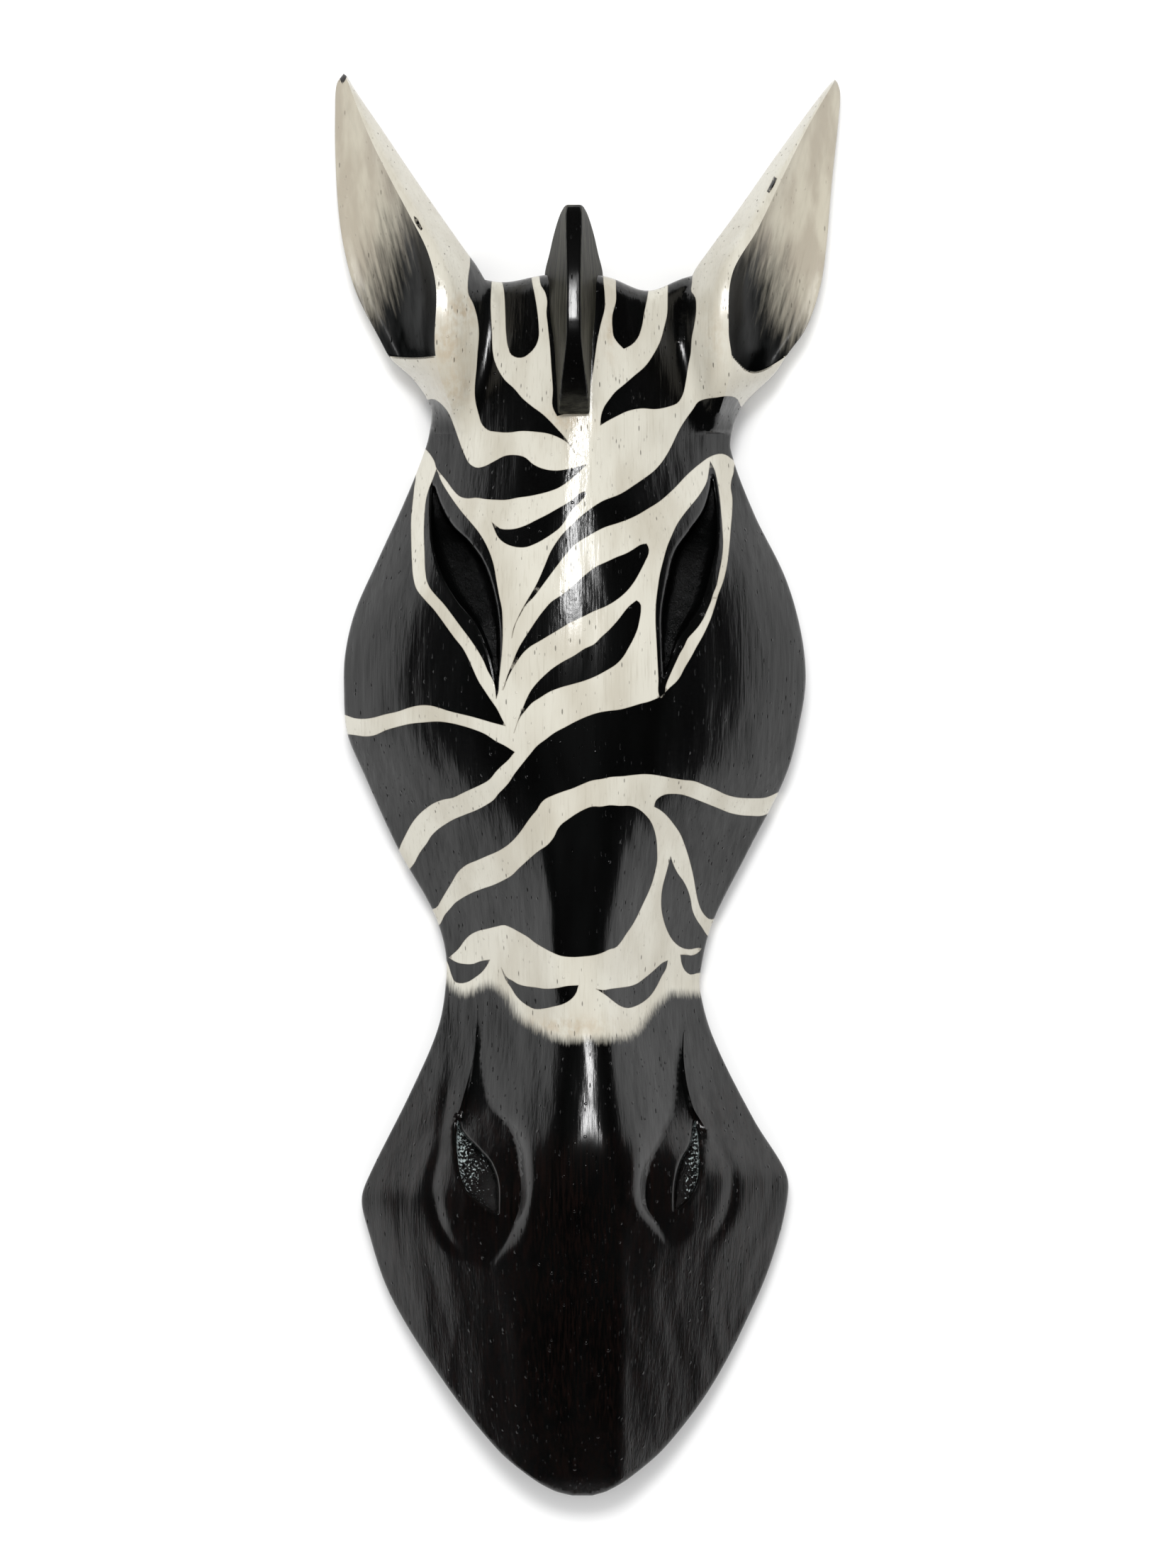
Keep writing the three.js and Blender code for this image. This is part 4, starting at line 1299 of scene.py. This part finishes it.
def carved_mask():
    """The whole mask as one piece, and how far it was moved to centre it."""
    stripes = stripe_lines()
    vertices, sources, flat, front, walls, back = head_and_ears(stripes)
    crest_vertices, crest_faces = crest_mesh()
    drawn = vertices[:, :2] * (1 - DRAW_IN * vertices[:, 2:])
    shift = (drawn.min(0) + drawn.max(0)) / 2
    crest = [tuple(i + len(vertices) for i in face) for face in crest_faces]
    faces = [*front, *walls, *back, *crest]
    mesh = bpy.data.meshes.new("carved_mask_surface")
    mesh.from_pydata(placed(np.concatenate([vertices, crest_vertices]), shift).tolist(), [], faces)
    for material in (painted_wood(), ear_paint(), crest_paint(), back_wood()):
        mesh.materials.append(material)
    centres = flat[np.array(front)].mean(1)
    parts = [in_hollow(centres), np.zeros(len(walls)), np.full(len(back), 3), np.full(len(crest), 2)]
    mesh.polygons.foreach_set("material_index", np.concatenate(parts).astype(int))
    black = is_black(centres, stripes)
    unpainted = np.zeros(len(back) + len(crest), bool)
    dark = np.concatenate([black, wall_blackness(front, black, walls, sources), unpainted])
    front_of = np.concatenate([sources, np.zeros(len(crest_vertices), int)])
    gap = paint_distance(flat, stripes)[front_of[np.array(faces).ravel()]] + 0.03
    write_attribute(mesh, "paint_edge", "CORNER", np.where(np.repeat(dark, 3), -gap, gap))
    write_paint(mesh, flat, front_of)
    mesh.update()
    return finished(mesh), shift


def wall_blackness(front, black, walls, sources):
    """Whether each wall triangle continues a black front triangle."""
    at_edge = {}
    for face, is_dark in zip(front, black):
        for i in range(3):
            at_edge[(face[i], face[(i + 1) % 3])] = is_dark
    result = []
    for pair in range(0, len(walls), 2):
        upper_i = int(sources[walls[pair][0]])
        upper_j = int(sources[walls[pair + 1][2]])
        dark = at_edge.get((upper_i, upper_j), False)
        result += [dark, dark]
    return np.array(result, bool)


def write_attribute(mesh, name, domain, values):
    """Numbers that a material reads by name."""
    attribute = mesh.attributes.new(name, "FLOAT", domain)
    attribute.data.foreach_set("value", np.asarray(values, np.float32))


def finished(mesh):
    """The mesh as a piece of the scene, shaded smooth with its sharp edges kept."""
    bm = bmesh.new()
    bm.from_mesh(mesh)
    bmesh.ops.recalc_face_normals(bm, faces=bm.faces)
    for face in bm.faces:
        face.smooth = True
    for line in bm.edges:
        line.smooth = line.is_manifold and line.calc_face_angle(0) < math.radians(SHARP_EDGE)
    bm.to_mesh(mesh)
    bm.free()
    piece = bpy.data.objects.new("carved_mask_surface", mesh)
    bpy.context.scene.collection.objects.link(piece)
    return piece


# Materials


def colour(red, green, blue):
    """A colour as seen on the photograph, 0 to 255, as the shader's linear values."""
    values = [v / 255 for v in (red, green, blue)]
    linear = [v / 12.92 if v < 0.04045 else ((v + 0.055) / 1.055) ** 2.4 for v in values]
    return (*linear, 1.0)


CREAM = colour(196, 193, 181)
CREAM_SHADE = colour(180, 175, 161)
CREAM_GRAIN = colour(160, 154, 140)
CREAM_EDGE = colour(108, 99, 84)
# Brown of the stains, also used as painted shade where the ears and crest meet the head.
CREAM_STAIN_AND_SHADE = colour(166, 148, 122)
BLACK = colour(1, 1, 1)
BLACK_THIN = colour(4, 5, 5)
BLACK_BROWN = colour(16, 6, 4)
PORE = colour(5, 5, 4)
# Pale flecks painted on the nostril floors as glints of reflected light.
PAINTED_GLINT = colour(205, 218, 218)
EAR_BEIGE = colour(164, 156, 141)
EAR_PALE = colour(182, 176, 160)
EAR_CHARCOAL = colour(26, 27, 27)
CREST_FRONT = colour(3, 3, 3)
CREST_SIDE = colour(17, 16, 12)
CREST_SCUFF = colour(66, 65, 55)
WOOD_BROWN = colour(96, 74, 52)
WOOD_PALE = colour(140, 112, 82)
WOOD_DARK = colour(70, 54, 40)
WOOD_PORE = colour(50, 36, 25)

# Size of each feature in millimetres: across the grain, along it and deep.
GRAIN_RIBS = (0.6, 14.0, 1.5)
BRUSH_MARKS = (3.0, 26.0, 6.0)
BRUSH_WOBBLE = (0.9, 1.6, 1.2)
FRINGE_HAIRS = (0.6, 7.0, 1.0)
SPECKS = (4.0, 4.0, 4.0)
COARSE_PORES = (1.7, 8.0, 3.0)
FINE_PORES = (0.9, 5.0, 2.0)
LACQUER_STREAKS = (1.6, 30.0, 3.0)
CREAM_PATCHES = (14.0, 40.0, 20.0)
CREAM_STREAKS = (0.6, 16.0, 1.5)
BLACK_PATCHES = (12.0, 50.0, 20.0)
BLACK_STREAKS = (0.7, 25.0, 2.0)
CRACKLE = (0.8, 1.1, 1.0)
LUMPS = (2.2, 3.4, 3.0)
EAR_STREAKS = (1.4, 16.0, 1.0)
EAR_PATCHES = (7.0, 22.0, 9.0)
SCUFFS = (4.0, 20.0, 1.0)
WOOD_STREAKS = (1.4, 40.0, 3.0)
WOOD_PATCHES = (20.0, 90.0, 30.0)

# Heights of the fine relief, as multiples of the depth that each paint gives.
RIB_HEIGHT = 0.55
MARK_HEIGHT = 2.0
SPECK_HEIGHT = 1.8
PORE_DEPTH = 2.4
LUMP_HEIGHT = 14.0


def named_material(name):
    """A new material, its node tree and its shader."""
    material = bpy.data.materials.new(name)
    material.use_nodes = True
    tree = material.node_tree
    return material, tree, tree.nodes["Principled BSDF"]


def add(tree, kind, inputs=None, **settings):
    """A node with its settings, and its inputs linked or set."""
    node = tree.nodes.new(kind)
    for key, value in settings.items():
        setattr(node, key, value)
    for key, value in (inputs or {}).items():
        if isinstance(value, bpy.types.NodeSocket):
            tree.links.new(value, node.inputs[key])
        else:
            node.inputs[key].default_value = value
    return node


def calculate(tree, operation, a, b=0.0):
    return add(tree, "ShaderNodeMath", {0: a, 1: b}, operation=operation).outputs[0]


def plus(tree, a, b):
    return calculate(tree, "ADD", a, b)


def minus(tree, a, b):
    return calculate(tree, "SUBTRACT", a, b)


def times(tree, a, b):
    return calculate(tree, "MULTIPLY", a, b)


def ramp(tree, value, low, high):
    """A smooth step from 0 at low to 1 at high. low may be the greater of the two."""
    start, end = (0.0, 1.0) if low < high else (1.0, 0.0)
    inputs = {"Value": value, "From Min": min(low, high), "From Max": max(low, high)}
    inputs.update({"To Min": start, "To Max": end})
    return add(tree, "ShaderNodeMapRange", inputs, interpolation_type="SMOOTHSTEP").outputs["Result"]


def mix(tree, share, a, b):
    return add(tree, "ShaderNodeMix", {0: share, 6: a, 7: b}, data_type="RGBA").outputs[2]


def stretched(tree, size):
    """Object coordinates scaled so that 1 is the size of a feature: across, lengthwise and deep, in mm."""
    place = add(tree, "ShaderNodeTexCoord").outputs["Object"]
    scale = [1 / (length * MM) for length in size]
    return add(tree, "ShaderNodeMapping", {"Vector": place, "Scale": scale}).outputs["Vector"]


def noise_at(tree, place, detail, roughness):
    inputs = {"Vector": place, "Scale": 1.0, "Detail": detail, "Roughness": roughness}
    return add(tree, "ShaderNodeTexNoise", inputs).outputs["Fac"]


def noise(tree, size, detail=3.0, roughness=0.5):
    """Soft noise, about 0.5, with features of a size in millimetres."""
    return noise_at(tree, stretched(tree, size), detail, roughness)


def read_value(tree, name):
    return add(tree, "ShaderNodeAttribute", attribute_name=name).outputs["Fac"]


def dashes(tree, spacing, share):
    """Short marks along the grain, one to a cell of a size given in millimetres, in a share of the cells."""
    inputs = {"Vector": stretched(tree, spacing), "Scale": 1.0, "Randomness": 1.0}
    node = add(tree, "ShaderNodeTexVoronoi", inputs, feature="F1")
    core = ramp(tree, node.outputs["Distance"], 0.15, 0.07)
    pick = add(tree, "ShaderNodeSeparateColor", {"Color": node.outputs["Color"]}).outputs["Red"]
    return times(tree, core, ramp(tree, pick, 1 - share - 0.03, 1 - share))


def pores(tree, share):
    """The wood's open pores, about 0.25 by 1.2 mm, and a finer sort between them."""
    coarse = dashes(tree, COARSE_PORES, share)
    fine = dashes(tree, FINE_PORES, share * 0.6)
    return calculate(tree, "MAXIMUM", coarse, times(tree, fine, 0.6))


def lacquered_grain(tree, pore_mask, depth, extra=None, mark_height=MARK_HEIGHT):
    """Normal of lacquer over open-pored wood: ribs along the grain, brush marks, pores and specks."""
    ribs = noise(tree, GRAIN_RIBS, 3.0, 0.6)
    marks = noise(tree, BRUSH_MARKS, 2.0)
    height = times(tree, ribs, RIB_HEIGHT)
    height = plus(tree, height, times(tree, marks, mark_height))
    height = plus(tree, height, times(tree, dashes(tree, SPECKS, 0.3), SPECK_HEIGHT))
    height = minus(tree, height, times(tree, pore_mask, PORE_DEPTH))
    if extra:
        height = plus(tree, height, extra)
    inputs = {"Height": height, "Distance": depth * MM, "Strength": 1.0}
    return add(tree, "ShaderNodeBump", inputs).outputs["Normal"]


def lacquer(shader, tree, base, normal, pore_mask, gloss, coat_rough=0.17):
    """Clear lacquer over the paint, missing from the pores and thinner in streaks."""
    streak = ramp(tree, noise(tree, LACQUER_STREAKS, 3.0, 0.6), 0.25, 0.65)
    film = plus(tree, times(tree, streak, 0.2), 0.8)
    film = times(tree, times(tree, film, gloss), minus(tree, 1.0, pore_mask))
    tree.links.new(base, shader.inputs["Base Color"])
    tree.links.new(normal, shader.inputs["Normal"])
    tree.links.new(normal, shader.inputs["Coat Normal"])
    tree.links.new(film, shader.inputs["Coat Weight"])
    shader.inputs["Roughness"].default_value = 0.6
    shader.inputs["Specular IOR Level"].default_value = 0.05
    shader.inputs["Coat Roughness"].default_value = coat_rough
    shader.inputs["Coat IOR"].default_value = 1.45


def cream_paint(tree, edge):
    """Off-white paint with grey grain showing through, brown stains and painted shade where the ears and
    crest meet the head, and a darker line along its edge.
    """
    slow = noise(tree, CREAM_PATCHES)
    fine = noise(tree, CREAM_STREAKS, 3.0, 0.6)
    cream = mix(tree, ramp(tree, slow, 0.35, 0.7), CREAM, CREAM_SHADE)
    cream = mix(tree, times(tree, ramp(tree, fine, 0.5, 0.75), 0.4), cream, CREAM_GRAIN)
    patches = ramp(tree, noise(tree, LUMPS, 4.0, 0.6), 0.3, 0.65)
    # Brown stains, which also stand as painted shade where the ears and crest meet the head.
    cream = mix(tree, times(tree, read_value(tree, "stain_and_shade"), patches), cream, CREAM_STAIN_AND_SHADE)
    line = ramp(tree, calculate(tree, "ABSOLUTE", edge), 0.32, 0.08)
    return mix(tree, times(tree, line, 0.5), cream, CREAM_EDGE)


def black_paint(tree, muzzle):
    """Black paint, brownish on the lower muzzle, with faint lighter streaks where it is thin."""
    slow = noise(tree, BLACK_PATCHES)
    streak = noise(tree, BLACK_STREAKS, 3.0, 0.6)
    dark = mix(tree, ramp(tree, slow, 0.3, 0.7), BLACK, BLACK_THIN)
    low = times(tree, ramp(tree, muzzle, 30.0, 38.0), ramp(tree, streak, 0.4, 0.7))
    return mix(tree, low, dark, BLACK_BROWN)


def painted_black(tree, edge):
    """1 where the stripes and chips are, with an edge that wavers a little as the brush did."""
    wobble = times(tree, minus(tree, noise(tree, BRUSH_WOBBLE, 2.0), 0.5), 0.22)
    return ramp(tree, plus(tree, edge, wobble), 0.05, -0.05)


def painted_muzzle(tree, muzzle):
    """1 on the black muzzle, with an upper edge brushed out in short hairs."""
    fringe = times(tree, minus(tree, noise(tree, FRINGE_HAIRS, 4.0, 0.65), 0.5), 5.0)
    return ramp(tree, plus(tree, muzzle, fringe), -2.6, 2.2)


def painted_wood():
    """Cream and black paint over open-pored wood, crackled and flecked with painted glints in the nostrils,
    and lumpy in a few places.
    """
    material, tree, shader = named_material("painted_wood")
    edge = read_value(tree, "paint_edge")
    muzzle = read_value(tree, "muzzle")
    rough = read_value(tree, "floor_roughness_and_glints")
    black = calculate(tree, "MAXIMUM", painted_black(tree, edge), painted_muzzle(tree, muzzle))
    base = mix(tree, black, cream_paint(tree, edge), black_paint(tree, muzzle))
    pore_mask = pores(tree, 0.6)
    base = mix(tree, times(tree, pore_mask, 0.6), base, PORE)
    crackle = noise(tree, CRACKLE, 4.0, 0.7)
    # Painted glints: pale flecks in the base colour that stand in for light caught by the rough nostril
    # floors.
    glint = ramp(tree, plus(tree, crackle, times(tree, rough, 0.5)), 0.94, 0.97)
    base = mix(tree, glint, base, PAINTED_GLINT)
    lumpy = times(tree, noise(tree, LUMPS, 3.0, 0.6), read_value(tree, "lumpy_paint"))
    uneven = times(tree, plus(tree, times(tree, crackle, rough), lumpy), LUMP_HEIGHT)
    matt = times(tree, ramp(tree, rough, 0.15, 0.25), ramp(tree, rough, 0.4, 0.35))
    gloss = minus(tree, 0.95, times(tree, matt, 0.6))
    brushed = plus(tree, times(tree, ramp(tree, muzzle, 50.0, 20.0), 1.3), MARK_HEIGHT - 1.3)
    normal = lacquered_grain(tree, pore_mask, 0.09, uneven, brushed)
    lacquer(shader, tree, base, normal, pore_mask, gloss)
    return material


def ear_paint():
    """Beige that fades into charcoal in fine brush streaks, and to black close under the ridge."""
    material, tree, shader = named_material("ear_hollow_paint")
    shade = read_value(tree, "ear_shade")
    place = add(tree, "ShaderNodeSeparateXYZ", {"Vector": stretched(tree, EAR_STREAKS)}).outputs
    across = times(tree, read_value(tree, "across_ear"), 1 / EAR_STREAKS[0])
    slanted = add(tree, "ShaderNodeCombineXYZ", {"X": across, "Y": place["Y"]}).outputs["Vector"]
    streak = noise_at(tree, slanted, 4.0, 0.6)
    fraying = times(tree, minus(tree, streak, 0.5), 26.0)
    dark = ramp(tree, plus(tree, shade, fraying), -14.0, 11.0)
    slow = noise(tree, EAR_PATCHES)
    beige = mix(tree, ramp(tree, slow, 0.35, 0.65), EAR_BEIGE, EAR_PALE)
    beige = mix(tree, times(tree, ramp(tree, streak, 0.55, 0.3), 0.3), beige, CREAM_GRAIN)
    deep = mix(tree, ramp(tree, slow, 0.4, 0.6), EAR_CHARCOAL, BLACK_THIN)
    base = mix(tree, dark, beige, deep)
    base = mix(tree, painted_black(tree, read_value(tree, "paint_edge")), base, BLACK_BROWN)
    pore_mask = pores(tree, 0.4)
    base = mix(tree, times(tree, pore_mask, 0.4), base, PORE)
    lacquer(shader, tree, base, lacquered_grain(tree, pore_mask, 0.07), pore_mask, 0.5, 0.3)
    return material


def crest_paint():
    """Glossy black in front. The steep sides are scuffed to an olive grey along the grain."""
    material, tree, shader = named_material("crest_paint")
    normal = add(tree, "ShaderNodeNewGeometry").outputs["Normal"]
    facing = add(tree, "ShaderNodeSeparateXYZ", {"Vector": normal}).outputs["Z"]
    side = ramp(tree, facing, 0.75, 0.45)
    streak = noise(tree, SCUFFS, 4.0, 0.65)
    flank = mix(tree, ramp(tree, streak, 0.38, 0.68), CREST_SIDE, CREST_SCUFF)
    base = mix(tree, side, CREST_FRONT, flank)
    pore_mask = pores(tree, 0.4)
    gloss = minus(tree, 0.9, times(tree, side, 0.8))
    lacquer(shader, tree, base, lacquered_grain(tree, pore_mask, 0.06), pore_mask, gloss, 0.14)
    return material


def back_wood():
    """Bare brown wood of the flat back and its trough."""
    material, tree, shader = named_material("back_wood")
    streak = noise(tree, WOOD_STREAKS, 4.0, 0.6)
    slow = noise(tree, WOOD_PATCHES, 2.0)
    base = mix(tree, streak, WOOD_BROWN, WOOD_PALE)
    base = mix(tree, times(tree, slow, 0.5), base, WOOD_DARK)
    pore_mask = pores(tree, 0.7)
    base = mix(tree, times(tree, pore_mask, 0.7), base, WOOD_PORE)
    tree.links.new(base, shader.inputs["Base Color"])
    tree.links.new(lacquered_grain(tree, pore_mask, 0.12), shader.inputs["Normal"])
    shader.inputs["Roughness"].default_value = 0.75
    return material


# Studio, in metres and watts

FLOOR_HALF = 4.0
FLOOR_Z = -0.0005
# Each light's name, place, size and power.
LIGHTS = [
    ("key", (-0.08, 1.05, 2.85), (1.2, 1.0), 20),
    ("lamp", (-0.1, 1.06, 2.85), (0.6, 0.6), 36),
]


def floor():
    """A plain pale floor just below the mask."""
    mesh = bpy.data.meshes.new("floor")
    corners = [(-1, -1), (1, -1), (1, 1), (-1, 1)]
    mesh.from_pydata([(FLOOR_HALF * x, FLOOR_HALF * y, FLOOR_Z) for x, y in corners], [], [(0, 1, 2, 3)])
    material, _, shader = named_material("floor")
    shader.inputs["Base Color"].default_value = (0.9, 0.9, 0.9, 1)
    shader.inputs["Roughness"].default_value = 0.9
    mesh.materials.append(material)
    ground = bpy.data.objects.new("floor", mesh)
    bpy.context.scene.collection.objects.link(ground)


def soft_light(name, place, size, power):
    """A rectangular light that points at the mask's middle."""
    light = bpy.data.lights.new(name, "AREA")
    light.shape = "RECTANGLE"
    light.size, light.size_y = size
    light.energy = power
    holder = bpy.data.objects.new(name, light)
    holder.location = place
    holder.rotation_euler = (-Vector(place)).to_track_quat("-Z", "Y").to_euler()
    bpy.context.scene.collection.objects.link(holder)


def surroundings():
    """Even light from a pale room. The gloss shows only the lights, the floor and the mask itself."""
    world = bpy.data.worlds.new("studio")
    bpy.context.scene.world = world
    world.use_nodes = True
    background = world.node_tree.nodes["Background"]
    background.inputs["Color"].default_value = (1, 1, 1, 1)
    background.inputs["Strength"].default_value = 0.9
    world.cycles_visibility.glossy = False


def camera(shift):
    """Straight above the photograph's middle, with the field of view that fits its height."""
    data = bpy.data.cameras.new("camera")
    data.sensor_width = 36
    data.lens = data.sensor_width * CAMERA_DISTANCE * PIXELS_PER_MM / PHOTO_SIZE[1]
    data.clip_end = 50
    eye = bpy.data.objects.new("camera", data)
    eye.location = (-shift[0] * MM, -shift[1] * MM, CAMERA_DISTANCE * MM)
    bpy.context.scene.collection.objects.link(eye)
    bpy.context.scene.camera = eye


piece, face_shift = carved_mask()
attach(piece, "root")
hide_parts("carved_mask")
floor()
surroundings()
for light_values in LIGHTS:
    soft_light(*light_values)
camera(face_shift)
bpy.context.scene.view_settings.view_transform = "Standard"
